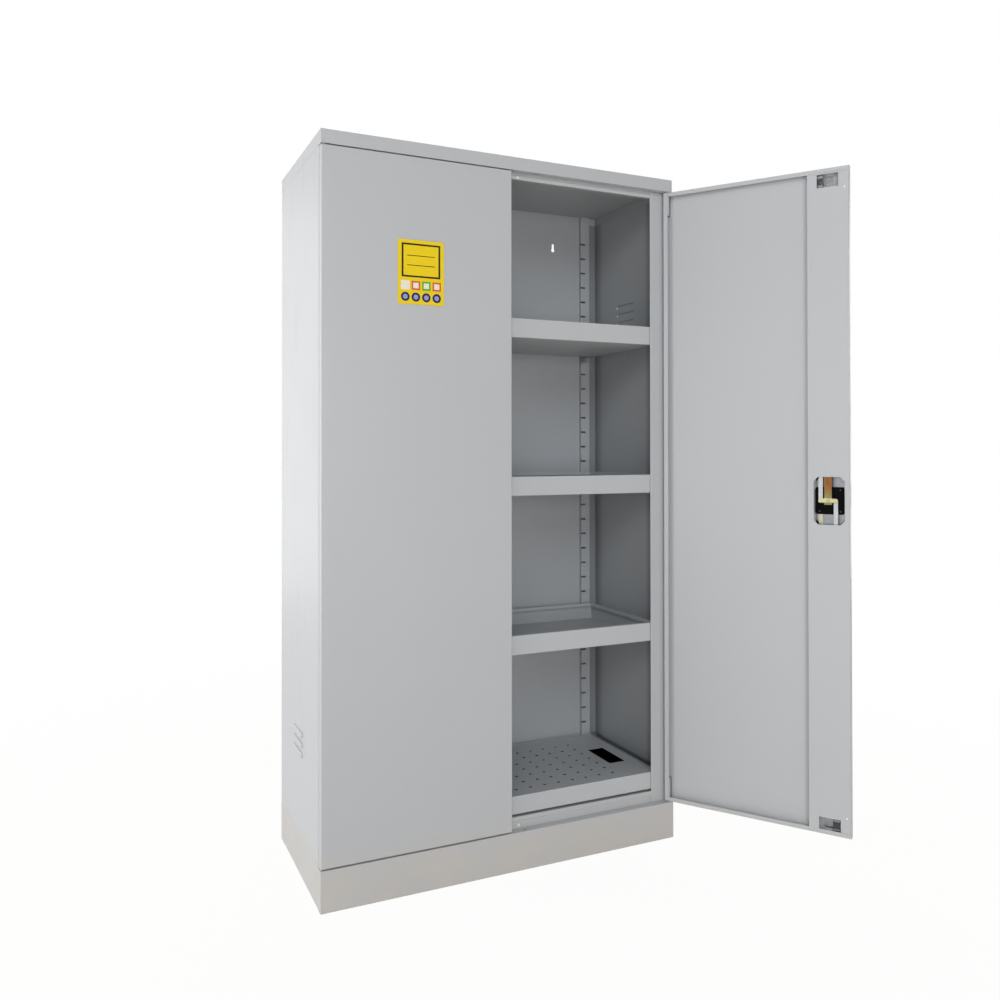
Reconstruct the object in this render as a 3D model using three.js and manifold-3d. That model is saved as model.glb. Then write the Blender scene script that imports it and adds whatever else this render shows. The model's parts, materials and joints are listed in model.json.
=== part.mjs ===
// Two-door steel safety cabinet with lift-out spill trays, a perforated floor over a sump tray,
// slotted shelf posts, corner pivots and a three-point turn-grip lock.
// Millimetres, +Z up, +X to the right of someone who faces the doors, front towards -Y.
// The origin is the middle of the footprint at floor level.

import * as THREE from 'three';
import { mergeVertices } from 'three/addons/utils/BufferGeometryUtils.js';
import Module from 'manifold-3d';

const wasm = await Module();
wasm.setup();

// Overall size
const HEIGHT = 2000;
const WIDTH = 1080;
const DEPTH = 500;

// Sheet metal
const SHEET = 1.2;
const SEAT_GAP = 0.3;
const BEND = 1.2;
const CUT_OVERRUN = 6;
const ROUND_SIDES = 12;

// Top cap and ceiling
const CAP_LIP = 37;
const CAP_RETURN = 20;
const CEILING_DROP = 16.5;
const CEILING_HOLE_RADIUS = 4;
const CEILING_HOLE_X = 398;
const CEILING_HOLE_SETBACK = 351;

// Plinth and base
const PLINTH_HEIGHT = 108;
const PLINTH_RETURN = 26;
const PLINTH_TOP_FLANGE = 30;
const PLINTH_FOOT_FLANGE = 15;
const BASE_HEIGHT = 34;
const BASE_RAIL_WIDTH = 40;
const BASE_RAIL_SHEET = 2;

// Front frame of the opening
const FRAME_SETBACK = 22.5;
const JAMB_WIDTH = 65;
const BAND_WIDTH = 11;
const HEADER_DROP = 56;
const HEADER_RETURN = 15;

// Side and back panels
const SIDE_TONGUE_INSET = 40;
const BACK_RECESS = 46.3;
const REAR_RETURN = 35;
const KEYHOLE_X = 370;
const KEYHOLE_DROP = 140;
const KEYHOLE_BORE_RADIUS = 6;
const KEYHOLE_NECK_RADIUS = 4;
const KEYHOLE_RISE = 18;

// Louvres, low on the left side and high on the right side
const LOUVRE_COUNT = 3;
const LOUVRE_LENGTH = 105;
const LOUVRE_PITCH = 27;
const LOUVRE_DROP = 13;
const LOUVRE_REACH = 5;
const LOUVRE_HOLLOW_DEPTH = 2.4;
const LOUVRE_SETBACK = 262;
const LOUVRE_LOW_Z = 365;
const LOUVRE_BELOW_TOP = 373;

// Shelf posts and their slots
const POST_WIDTH = 30;
const POST_DEPTH = 13.2;
const POST_FROM_SIDE = 37;
const REAR_POST_OVERHANG = 3;
const POST_FRONT_SETBACK = 30;
const SLOT_FIRST = 95.5;
const SLOT_PITCH = 50;
const SLOT_HEIGHT = 6;
const SLOT_WIDTH = 17;
const SLOT_WRAP = 7;
const SLOT_END_MARGIN = 60;

// Shelf clips
const CLIP_HEIGHT = 19;
const CLIP_WIDTH = 24;
const CLIP_SHEET = 1.2;
const CLIP_TAB_WIDTH = 9;
const CLIP_TAB_HEIGHT = 4.8;
const CLIP_TAB_REACH = 6;
const CLIP_TOP_ABOVE_SLOT = 8.7;
const CLIP_BEARING = 10;

// Shelf trays, counted from the top
const SHELF_SLOTS = [25, 16, 7];
const TRAY_HEIGHT = 55;
const TRAY_REAR_GAP = 19;
const TRAY_SIDE_CLEARANCE = 2;
const TRAY_FRONT_CLEARANCE = 0.7;
const TRAY_HEM = 12;
const TRAY_HEM_DROP = 10;

// Sump tray and perforated floor
const SUMP_HEIGHT = 51.5;
const SUMP_REAR_GAP = 13;
const SUMP_FOOT_HEIGHT = 6;
const SUMP_FOOT_WIDTH = 30;
const SUMP_FOOT_X = 300;
const SUMP_FOOT_INSET = 35;
const GRID_BELOW_RIM = 2.1;
const GRID_CLEARANCE = 0.8;
const GRID_PITCH = 46.4;
const GRID_COLUMNS = 17;
const GRID_HOLE_RADIUS = 5.2;
const GRID_HOLE_SIDES = 8;
const GRID_FIRST_ROW = 50.8;
const GRID_REAR_MARGIN = 60;
const GRIP_HOLE_X = 433.5;
const GRIP_HOLE_WIDTH = 55;
const GRIP_HOLE_LENGTH = 137;

// Doors
const DOOR_THICKNESS = 20;
const DOOR_TOP_GAP = 3;
const DOOR_BOTTOM_GAP = 4;
const DOOR_CENTRE_GAP = 3;
const DOOR_SIDE_INSET = 0.5;
const DOOR_SIDE_LIP = 14;
const DOOR_END_LIP = 12.5;
const CHANNEL_WIDTH = 113;
const CHANNEL_FOOT = 12;
const RIGHT_DOOR_OPEN = 124.1;

// Corner pivots of the doors
const PIVOT_SIDE_INSET = 10;
const PIVOT_SETBACK = 9;
const PIVOT_RADIUS = 4;
const PIVOT_CLEARANCE = 0.6;
const PIVOT_REACH = 14;
const PIVOT_BLOCK_HEIGHT = 68;
const PIVOT_BLOCK_WIDTH = 15.7;

// Door buffers
const BUFFER_RADIUS = 4;
const BUFFER_X = 28;
const BUFFER_LOW_HEIGHT = 11;

// Lock
const LOCK_HEIGHT = 1035;
const LOCK_EDGE_DISTANCE = 59.5;
const LOCK_WINDOW_WIDTH = 82.6;
const LOCK_WINDOW_HEIGHT = 133;
const LOCK_WINDOW_CHAMFER = 12;
const LOCK_WINDOW_SHIFT = 3.8;
const LOCK_PLATE_WIDTH = 76;
const LOCK_PLATE_HEIGHT = 140;
const LOCK_PLATE_SHEET = 1.5;
const LOCK_CASE_WIDTH = 78;
const LOCK_CASE_HEIGHT = 76;
const LOCK_CASE_DEPTH = 5.4;
const SPINDLE_SIZE = 8;
const SPINDLE_HOLE_RADIUS = 8;
const HUB_RADIUS = 11;
const CAM_DEPTH = 3;
const CAM_ARM_REACH = 26;
const CAM_ARM_WIDTH = 12;
const TONGUE_REACH = 72;
const TONGUE_WIDTH = 20;
const TONGUE_SLOT_ABOVE = 45;
const TONGUE_SLOT_BELOW = 13;
const TONGUE_SLOT_CLEARANCE = 1;
const ROD_OFFSET = 20.2;
const ROD_WIDTH = 11.5;
const ROD_THICKNESS = 3;
const ROD_OVERLAP = 17;
const ROD_END_INSET = 3;
const ROD_CLEARANCE = 1;
const LAYER_GAP = 0.6;

// Rod guides behind their cut-outs
const GUIDE_CUTOUT_WIDTH = 57.5;
const GUIDE_CUTOUT_HEIGHT = 37;
const GUIDE_CUTOUT_SHIFT = 2.5;
const GUIDE_TOP_INSET = 16;
const GUIDE_BOTTOM_INSET = 9;
const GUIDE_HEIGHT = 29;
const GUIDE_WALL = 1.5;
const GUIDE_ROD_CLEARANCE = 1.2;
const GUIDE_FOOT = 26;
const GUIDE_SHORT_FOOT = 5;

// Turn grip and key cylinder on the outside of the right door
const ROSE_RADIUS = 30;
const ROSE_THICKNESS = 3;
const GRIP_HUB_RADIUS = 19;
const GRIP_HUB_HEIGHT = 12;
const GRIP_LENGTH = 84;
const GRIP_WIDTH = 15;
const GRIP_HEIGHT = 26;
const KEY_RADIUS = 6;
const KEY_DEPTH = 9;
const KEY_STAND = 1;
const KEY_CLEARANCE = 0.4;
const KEY_COLLAR_WALL = 2.4;
const KEY_SLOT_WIDTH = 1.6;
const KEY_SLOT_LENGTH = 7;
const KEY_SLOT_DEPTH = 3;

// Plate on the left door
const SIGN_WIDTH = 130;
const SIGN_HEIGHT = 172;
const SIGN_THICKNESS = 0.8;
const SIGN_TOP_DROP = 223;

// Places that follow from the sizes
const HALF_WIDTH = WIDTH / 2;
const FRONT = -DEPTH / 2;
const REAR = DEPTH / 2;
const FLOOR_TOP = PLINTH_HEIGHT + BASE_HEIGHT;
const CEILING = HEIGHT - CEILING_DROP;
const CAP_BOTTOM = HEIGHT - CAP_LIP;
const HEADER_BOTTOM = HEIGHT - HEADER_DROP;
const OPENING_HALF = HALF_WIDTH - JAMB_WIDTH;
const BAND_FACE = FRONT + FRAME_SETBACK;
const WEB_FACE = BAND_FACE + SHEET;
const WEB_BACK = WEB_FACE + SHEET;
const CARCASS_TOP = CAP_BOTTOM - SEAT_GAP;
const CARCASS_BOTTOM = PLINTH_HEIGHT + SEAT_GAP;
const INNER_HALF = HALF_WIDTH - SHEET - SEAT_GAP;
const BACK_OUTER = REAR - BACK_RECESS;
const BACK_INNER = BACK_OUTER - SHEET;
const POST_OUTER = HALF_WIDTH - POST_FROM_SIDE;
const POST_FACE = BACK_INNER - SEAT_GAP - POST_DEPTH;
const SLOT_BASE = FLOOR_TOP + SLOT_FIRST;
const TRAY_HALF = POST_OUTER - TRAY_SIDE_CLEARANCE;
const TRAY_FRONT = WEB_BACK + TRAY_FRONT_CLEARANCE;
const TRAY_REAR = POST_FACE - TRAY_REAR_GAP;
const SUMP_REAR = POST_FACE - SUMP_REAR_GAP;
const GRID_ROW_SPAN = SUMP_REAR - TRAY_FRONT - GRID_FIRST_ROW - GRID_REAR_MARGIN;
const GRID_ROWS = Math.floor(GRID_ROW_SPAN / GRID_PITCH) + 1;
const SUMP_BOTTOM = FLOOR_TOP + SUMP_FOOT_HEIGHT;
const DOOR_BOTTOM = PLINTH_HEIGHT + DOOR_BOTTOM_GAP;
const DOOR_TOP = CAP_BOTTOM - DOOR_TOP_GAP;
const DOOR_FREE_EDGE = DOOR_CENTRE_GAP / 2;
const DOOR_HINGE_EDGE = HALF_WIDTH - DOOR_SIDE_INSET;
const DOOR_BACK = FRONT + DOOR_THICKNESS;
const SKIN_BACK = FRONT + SHEET;
const CHANNEL_INNER = DOOR_FREE_EDGE + CHANNEL_WIDTH;
const PIVOT_X = HALF_WIDTH - PIVOT_SIDE_INSET;
const PIVOT_Y = FRONT + PIVOT_SETBACK;
const LOCK_X = DOOR_FREE_EDGE + LOCK_EDGE_DISTANCE;
const LOCK_PLATE_FACE = SKIN_BACK + SEAT_GAP + LOCK_PLATE_SHEET;
const LOCK_CASE_FACE = LOCK_PLATE_FACE + SEAT_GAP + LOCK_CASE_DEPTH;
const ROD_BACK = LOCK_CASE_FACE + SEAT_GAP;
const ROD_FACE = ROD_BACK + ROD_THICKNESS;
const CAM_BACK = ROD_FACE + LAYER_GAP;
const CAM_FACE = CAM_BACK + CAM_DEPTH;
const UPPER_ROD_X = LOCK_X + ROD_OFFSET;
const LOWER_ROD_X = LOCK_X - ROD_OFFSET;

// Solids from three.js geometry

function toSolid(geometry) {
  const bare = geometry.clone();
  bare.deleteAttribute('normal');
  bare.deleteAttribute('uv');
  const merged = mergeVertices(bare);
  return new wasm.Manifold(new wasm.Mesh({
    numProp: 3,
    vertProperties: new Float32Array(merged.attributes.position.array),
    triVerts: new Uint32Array(merged.index.array),
  }));
}

function toGeometry(solid) {
  const mesh = solid.getMesh();
  const geometry = new THREE.BufferGeometry();
  geometry.setAttribute('position', new THREE.BufferAttribute(mesh.vertProperties, 3));
  geometry.setIndex(new THREE.BufferAttribute(mesh.triVerts, 1));
  geometry.computeVertexNormals();
  return geometry;
}

// Spans are [low, high] pairs along one axis
const around = (centre, size) => [centre - size / 2, centre + size / 2];
const onSide = (side, near, far) => (side > 0 ? [near, far] : [-far, -near]);
const grown = ([low, high], by) => [low - by, high + by];

function block(x, y, z) {
  const geometry = new THREE.BoxGeometry(x[1] - x[0], y[1] - y[0], z[1] - z[0]);
  geometry.translate((x[0] + x[1]) / 2, (y[0] + y[1]) / 2, (z[0] + z[1]) / 2);
  return toSolid(geometry);
}

// An outline of [u, v] points pushed along an axis: u, v are x, y along z; y, z along x; x, z along y
const AXIS_BASES = {
  z: [[1, 0, 0], [0, 1, 0], [0, 0, 1]],
  x: [[0, 1, 0], [0, 0, 1], [1, 0, 0]],
  y: [[1, 0, 0], [0, 0, 1], [0, -1, 0]],
};

function extrude(axis, outline, span) {
  const shape = new THREE.Shape(outline.map(([u, v]) => new THREE.Vector2(u, v)));
  const geometry = new THREE.ExtrudeGeometry(shape, { depth: span[1] - span[0], bevelEnabled: false });
  geometry.translate(0, 0, axis === 'y' ? -span[1] : span[0]);
  const basis = AXIS_BASES[axis].map((column) => new THREE.Vector3(...column));
  geometry.applyMatrix4(new THREE.Matrix4().makeBasis(...basis));
  return toSolid(geometry);
}

// The section of a bent sheet: a path of its outer face, thickened to the left of its direction
function bentSheet(path, thickness) {
  const normals = path.slice(1).map(([u, v], i) => {
    const [du, dv] = [u - path[i][0], v - path[i][1]];
    const length = Math.hypot(du, dv);
    return [-dv / length, du / length];
  });
  const inner = path.map(([u, v], i) => {
    const before = normals[Math.max(i - 1, 0)];
    const after = normals[Math.min(i, normals.length - 1)];
    const stretch = thickness / (1 + before[0] * after[0] + before[1] * after[1]);
    return [u + (before[0] + after[0]) * stretch, v + (before[1] + after[1]) * stretch];
  });
  return [...path, ...inner.reverse()];
}

const mirrored = (outline) => outline.map(([u, v]) => [-u, v]).reverse();

function cylinder(axis, radius, centre, span, sides = ROUND_SIDES) {
  const turn = (i) => (2 * Math.PI * (i + 1 / 2)) / sides;
  const outline = Array.from({ length: sides }, (_, i) => [
    centre[0] + radius * Math.cos(turn(i)),
    centre[1] + radius * Math.sin(turn(i)),
  ]);
  return extrude(axis, outline, span);
}

const united = (solids) => solids.reduce((whole, solid) => whole.add(solid));
const cutBy = (solid, tools) => tools.reduce((rest, tool) => rest.subtract(tool), solid);

// Materials

const surface = (color, roughness, metalness) =>
  new THREE.MeshStandardMaterial({ color, roughness, metalness });

const PAINT = surface('#b7babb', 0.42, 0.1);
const ZINC = surface('#c3c6c8', 0.32, 0.9);
const BRASS = surface('#b99a3e', 0.35, 0.9);
const BLACK_PLASTIC = surface('#1b1c1e', 0.45, 0);
const WHITE_NYLON = surface('#eceeee', 0.5, 0);
const STEEL = surface('#8d9092', 0.4, 0.85);
const SIGN = surface('#f2d21b', 0.4, 0);

const cabinet = new THREE.Group();

function place(group, name, solid, material) {
  const mesh = new THREE.Mesh(toGeometry(solid), material);
  mesh.name = name;
  group.add(mesh);
}

// Carcass

function louvreHood(side, z) {
  const lengthSpan = around(FRONT + LOUVRE_SETBACK, LOUVRE_LENGTH);
  const wall = side * HALF_WIDTH;
  const outer = wall + side * LOUVRE_REACH;
  const hood = [[wall, z + LOUVRE_DROP / 2], [wall, z - LOUVRE_DROP / 2], [outer, z - LOUVRE_DROP / 2]];
  const hollow = hood.map(([x, height]) => [x - side * LOUVRE_HOLLOW_DEPTH, height - SHEET]);
  const wind = (outline) => (side > 0 ? outline : [...outline].reverse());
  return {
    skin: extrude('y', wind(hood), lengthSpan),
    hollow: extrude('y', wind(hollow), grown(lengthSpan, -SHEET)),
  };
}

function sidePanel(side, louvreZ) {
  const section = bentSheet([
    [OPENING_HALF, WEB_FACE],
    [HALF_WIDTH, WEB_FACE],
    [HALF_WIDTH, REAR],
    [HALF_WIDTH - REAR_RETURN, REAR],
    [HALF_WIDTH - REAR_RETURN, BACK_OUTER + SEAT_GAP],
  ], SHEET);
  const heights = [CARCASS_BOTTOM, CARCASS_TOP];
  const tongueDepth = grown([WEB_FACE, REAR], -SIDE_TONGUE_INSET);
  const tongueInner = INNER_HALF - SHEET;
  const panel = united([
    extrude('z', side > 0 ? section : mirrored(section), heights),
    block(onSide(side, OPENING_HALF, OPENING_HALF + BAND_WIDTH), [BAND_FACE, WEB_BACK], heights),
    block(onSide(side, tongueInner, HALF_WIDTH), tongueDepth, [CARCASS_TOP - SHEET, CARCASS_TOP]),
    block(onSide(side, tongueInner, INNER_HALF), tongueDepth, [CARCASS_TOP - SHEET, CEILING - SEAT_GAP]),
  ]);
  const hoods = Array.from({ length: LOUVRE_COUNT }, (_, i) =>
    louvreHood(side, louvreZ + (i - (LOUVRE_COUNT - 1) / 2) * LOUVRE_PITCH));
  return cutBy(united([panel, ...hoods.map((hood) => hood.skin)]), hoods.map((hood) => hood.hollow));
}

function backPanel() {
  const depth = [BACK_INNER, BACK_OUTER];
  const cut = grown(depth, CUT_OVERRUN);
  const bore = HEIGHT - KEYHOLE_DROP;
  const half = INNER_HALF - SHEET - SEAT_GAP;
  const keyholes = [-KEYHOLE_X, KEYHOLE_X].flatMap((x) => [
    cylinder('y', KEYHOLE_BORE_RADIUS, [x, bore], cut),
    cylinder('y', KEYHOLE_NECK_RADIUS, [x, bore + KEYHOLE_RISE], cut),
    block(grown([x, x], KEYHOLE_NECK_RADIUS), cut, [bore, bore + KEYHOLE_RISE]),
  ]);
  return cutBy(block([-half, half], depth, [CARCASS_BOTTOM, CEILING - SEAT_GAP]), keyholes);
}

const rodSlot = (x, levels) =>
  block(grown(around(x, ROD_WIDTH), ROD_CLEARANCE), grown([ROD_BACK, ROD_FACE], ROD_CLEARANCE), levels);

// The places where pivot pins and lock rods pass a level sheet above or below the doors
function doorPassages(levels) {
  const rodX = levels[0] > LOCK_HEIGHT ? UPPER_ROD_X : LOWER_ROD_X;
  return [
    ...[-PIVOT_X, PIVOT_X].map((x) =>
      cylinder('z', PIVOT_RADIUS + PIVOT_CLEARANCE, [x, PIVOT_Y], levels)),
    rodSlot(rodX, levels),
  ];
}

function topCap() {
  const heights = [CAP_BOTTOM, HEIGHT];
  const lid = block([-HALF_WIDTH, HALF_WIDTH], [FRONT, REAR], heights);
  const hollow = block(
    grown([-HALF_WIDTH, HALF_WIDTH], -SHEET),
    grown([FRONT, REAR], -SHEET),
    [CAP_BOTTOM - CUT_OVERRUN, HEIGHT - SHEET],
  );
  const returnFlange = block([-HALF_WIDTH, HALF_WIDTH], [FRONT, FRONT + CAP_RETURN],
    [CAP_BOTTOM, CAP_BOTTOM + SHEET]);
  const passages = doorPassages([CAP_BOTTOM - CUT_OVERRUN, CAP_BOTTOM + SHEET + CUT_OVERRUN]);
  return cutBy(lid.subtract(hollow).add(returnFlange), passages);
}

function ceilingPanel() {
  const x = [-INNER_HALF, INNER_HALF];
  const y = [WEB_FACE, BACK_OUTER];
  const z = [CEILING, HEIGHT - SHEET - SEAT_GAP];
  const hollow = block(grown(x, -SHEET), grown(y, -SHEET), [CEILING + SHEET, HEIGHT]);
  const hole = cylinder('z', CEILING_HOLE_RADIUS, [CEILING_HOLE_X, FRONT + CEILING_HOLE_SETBACK],
    [CEILING - CUT_OVERRUN, HEIGHT]);
  return cutBy(block(x, y, z), [hollow, hole]);
}

function headerRail() {
  const half = OPENING_HALF - SEAT_GAP;
  const returnDepth = BAND_FACE + HEADER_RETURN;
  return united([
    block([-half, half], [BAND_FACE, WEB_BACK], [HEADER_BOTTOM, HEADER_BOTTOM + BAND_WIDTH]),
    block([-half, half], [WEB_FACE, WEB_BACK], [HEADER_BOTTOM, CEILING - SEAT_GAP]),
    block([-half, half], [BAND_FACE, returnDepth], [HEADER_BOTTOM, HEADER_BOTTOM + SHEET]),
  ]);
}

function sillRail() {
  const half = OPENING_HALF - SEAT_GAP;
  return united([
    block([-half, half], [BAND_FACE, WEB_BACK], [FLOOR_TOP - BAND_WIDTH, FLOOR_TOP]),
    block([-half, half], [WEB_FACE, WEB_BACK], [CARCASS_BOTTOM, FLOOR_TOP]),
  ]);
}

function bottomPanel() {
  const x = [-INNER_HALF, INNER_HALF];
  const y = [WEB_BACK + SEAT_GAP, BACK_INNER - SEAT_GAP];
  const hollow = block(
    grown(x, -SHEET),
    [y[0] - CUT_OVERRUN, y[1] - SHEET],
    [CARCASS_BOTTOM - CUT_OVERRUN, FLOOR_TOP - SHEET],
  );
  return block(x, y, [CARCASS_BOTTOM, FLOOR_TOP]).subtract(hollow);
}

function plinthEnd(isFront) {
  const y = isFront ? [FRONT, FRONT + PLINTH_RETURN] : [BACK_INNER, REAR];
  const x = [-HALF_WIDTH, HALF_WIDTH];
  const open = isFront ? [FRONT + SHEET, y[1] + CUT_OVERRUN] : [y[0] - CUT_OVERRUN, REAR - SHEET];
  const hollow = block(grown(x, -SHEET), open, grown([0, PLINTH_HEIGHT], -SHEET));
  const levels = grown([PLINTH_HEIGHT - SHEET, PLINTH_HEIGHT], CUT_OVERRUN);
  return cutBy(block(x, y, [0, PLINTH_HEIGHT]), [hollow, ...(isFront ? doorPassages(levels) : [])]);
}

function plinthSide(side) {
  const section = bentSheet([
    [HALF_WIDTH - PLINTH_FOOT_FLANGE, 0],
    [HALF_WIDTH, 0],
    [HALF_WIDTH, PLINTH_HEIGHT],
    [HALF_WIDTH - PLINTH_TOP_FLANGE, PLINTH_HEIGHT],
  ], SHEET);
  const length = grown([FRONT + PLINTH_RETURN, BACK_INNER], -SEAT_GAP);
  return extrude('y', side > 0 ? section : mirrored(section), length);
}

function baseRail() {
  const half = BASE_RAIL_WIDTH / 2;
  const top = FLOOR_TOP - SHEET - SEAT_GAP;
  const section = bentSheet([[-half, top], [-half, 0], [half, 0]], BASE_RAIL_SHEET);
  const length = HALF_WIDTH - PLINTH_TOP_FLANGE - SEAT_GAP;
  const rail = extrude('x', section, [-length, length]);
  return rail.add(block([-length, length], [-half, half], [top - BASE_RAIL_SHEET, top]));
}

// Shelf posts: channels whose slots wrap the corner that the clips hook into

const POST_HEIGHTS = [FLOOR_TOP + SEAT_GAP, CEILING - SEAT_GAP];
const SLOT_COUNT = 1 + Math.floor((CEILING - SLOT_END_MARGIN - SLOT_BASE) / SLOT_PITCH);
const slotZ = (index) => SLOT_BASE + index * SLOT_PITCH;
const SLOT_LEVELS = Array.from({ length: SLOT_COUNT }, (_, i) => around(slotZ(i), SLOT_HEIGHT));

function rearPost(side) {
  const inner = POST_OUTER - POST_WIDTH;
  const outer = POST_OUTER + REAR_POST_OVERHANG;
  const section = bentSheet([
    [inner, BACK_INNER - SEAT_GAP],
    [inner, POST_FACE],
    [outer, POST_FACE],
    [outer, BACK_INNER - SEAT_GAP],
  ], SHEET);
  const post = extrude('z', side > 0 ? section : mirrored(section), POST_HEIGHTS);
  const slots = SLOT_LEVELS.map((level) => block(
    onSide(side, inner - CUT_OVERRUN, inner + SLOT_WIDTH),
    [POST_FACE - CUT_OVERRUN, POST_FACE + SLOT_WRAP],
    level,
  ));
  return cutBy(post, slots);
}

function frontPost(side) {
  const front = FRONT + POST_FRONT_SETBACK;
  const back = front + POST_WIDTH;
  const wall = INNER_HALF;
  const section = bentSheet([[wall, back], [POST_OUTER, back], [POST_OUTER, front], [wall, front]], SHEET);
  const post = extrude('z', side > 0 ? section : mirrored(section), POST_HEIGHTS);
  const slots = SLOT_LEVELS.map((level) => block(
    onSide(side, POST_OUTER - CUT_OVERRUN, POST_OUTER + SLOT_WRAP),
    [back - SLOT_WIDTH, back + CUT_OVERRUN],
    level,
  ));
  return cutBy(post, slots);
}

// Clips: a plate on the post, a ledge under the tray and a tab through the slot

function rearClip(side, slot) {
  const top = slotZ(slot) + CLIP_TOP_ABOVE_SLOT;
  const inner = POST_OUTER - POST_WIDTH + SEAT_GAP;
  const face = POST_FACE - SEAT_GAP;
  const ledgeFront = TRAY_REAR - CLIP_BEARING;
  const x = onSide(side, inner, inner + CLIP_WIDTH);
  const tabX = onSide(side, inner, inner + CLIP_TAB_WIDTH);
  return united([
    block(x, [face - CLIP_SHEET, face], [top - CLIP_HEIGHT, top]),
    block(x, [ledgeFront, face], [top - CLIP_SHEET, top]),
    block(tabX, [face - CLIP_SHEET, face + CLIP_TAB_REACH], around(slotZ(slot), CLIP_TAB_HEIGHT)),
  ]);
}

function frontClip(side, slot) {
  const top = slotZ(slot) + CLIP_TOP_ABOVE_SLOT;
  const back = FRONT + POST_FRONT_SETBACK + POST_WIDTH - SEAT_GAP;
  const face = POST_OUTER - SEAT_GAP;
  const plateX = onSide(side, face - CLIP_SHEET, face);
  const ledgeX = onSide(side, TRAY_HALF - CLIP_WIDTH, face);
  const tabX = onSide(side, face - CLIP_SHEET, face + CLIP_TAB_REACH);
  return united([
    block(plateX, [back - CLIP_WIDTH, back], [top - CLIP_HEIGHT, top]),
    block(ledgeX, [back - CLIP_WIDTH, back], [top - CLIP_SHEET, top]),
    block(tabX, [back - CLIP_TAB_WIDTH, back], around(slotZ(slot), CLIP_TAB_HEIGHT)),
  ]);
}

// Trays

function shelfTray(slot) {
  const bottom = slotZ(slot) + CLIP_TOP_ABOVE_SLOT + SEAT_GAP;
  const top = bottom + TRAY_HEIGHT;
  const x = [-TRAY_HALF, TRAY_HALF];
  const y = [TRAY_FRONT, TRAY_REAR];
  const underHem = top - SHEET;
  const hollow = block(grown(x, -SHEET), grown(y, -SHEET), [bottom + SHEET, underHem]);
  const mouth = block(grown(x, -TRAY_HEM), grown(y, -TRAY_HEM), grown([underHem, top], CUT_OVERRUN));
  const lipInset = TRAY_HEM - SHEET;
  const lipRing = block(grown(x, -lipInset), grown(y, -lipInset), [top - TRAY_HEM_DROP, top]);
  const lipMouth = block(grown(x, -TRAY_HEM), grown(y, -TRAY_HEM), grown([bottom, top], CUT_OVERRUN));
  return cutBy(block(x, y, [bottom, top]), [hollow, mouth]).add(lipRing.subtract(lipMouth));
}

function sumpTray() {
  const x = [-TRAY_HALF, TRAY_HALF];
  const y = [TRAY_FRONT, SUMP_REAR];
  const z = [SUMP_BOTTOM, SUMP_BOTTOM + SUMP_HEIGHT];
  const hollow = block(grown(x, -SHEET), grown(y, -SHEET), [z[0] + SHEET, z[1] + CUT_OVERRUN]);
  const footLevels = [FLOOR_TOP + SEAT_GAP, z[0] + SHEET];
  const feet = [-SUMP_FOOT_X, SUMP_FOOT_X].map((centre) =>
    block(around(centre, SUMP_FOOT_WIDTH), grown(y, -SUMP_FOOT_INSET), footLevels));
  return united([block(x, y, z).subtract(hollow), ...feet]);
}

function perforatedFloor() {
  const inset = SHEET + GRID_CLEARANCE;
  const x = grown([-TRAY_HALF, TRAY_HALF], -inset);
  const y = grown([TRAY_FRONT, SUMP_REAR], -inset);
  const z = [SUMP_BOTTOM + SHEET + SEAT_GAP, SUMP_BOTTOM + SUMP_HEIGHT - GRID_BELOW_RIM];
  const cut = [z[1] - CUT_OVERRUN, z[1] + CUT_OVERRUN];
  const middle = TRAY_FRONT + GRID_FIRST_ROW + (GRID_ROWS - 1) / 2 * GRID_PITCH;
  const hollow = block(grown(x, -SHEET), grown(y, -SHEET), [z[0] - CUT_OVERRUN, z[1] - SHEET]);
  const holes = [];
  for (let column = 0; column < GRID_COLUMNS; column += 1) {
    for (let row = 0; row < GRID_ROWS; row += 1) {
      const holeX = (column - (GRID_COLUMNS - 1) / 2) * GRID_PITCH;
      const holeY = middle + (row - (GRID_ROWS - 1) / 2) * GRID_PITCH;
      holes.push(cylinder('z', GRID_HOLE_RADIUS, [holeX, holeY], cut, GRID_HOLE_SIDES));
    }
  }
  const gripHoles = [-GRIP_HOLE_X, GRIP_HOLE_X].map((centre) =>
    block(around(centre, GRIP_HOLE_WIDTH), around(middle, GRIP_HOLE_LENGTH), cut));
  return cutBy(block(x, y, z), [hollow, united([...holes, ...gripHoles])]);
}

// Doors, drawn closed; side is -1 for the left door and 1 for the right one

const TONGUE_SLOT = [LOCK_HEIGHT - TONGUE_SLOT_BELOW, LOCK_HEIGHT + TONGUE_SLOT_ABOVE];
const TONGUE_LAYER = grown([CAM_BACK, CAM_FACE], TONGUE_SLOT_CLEARANCE);

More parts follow.
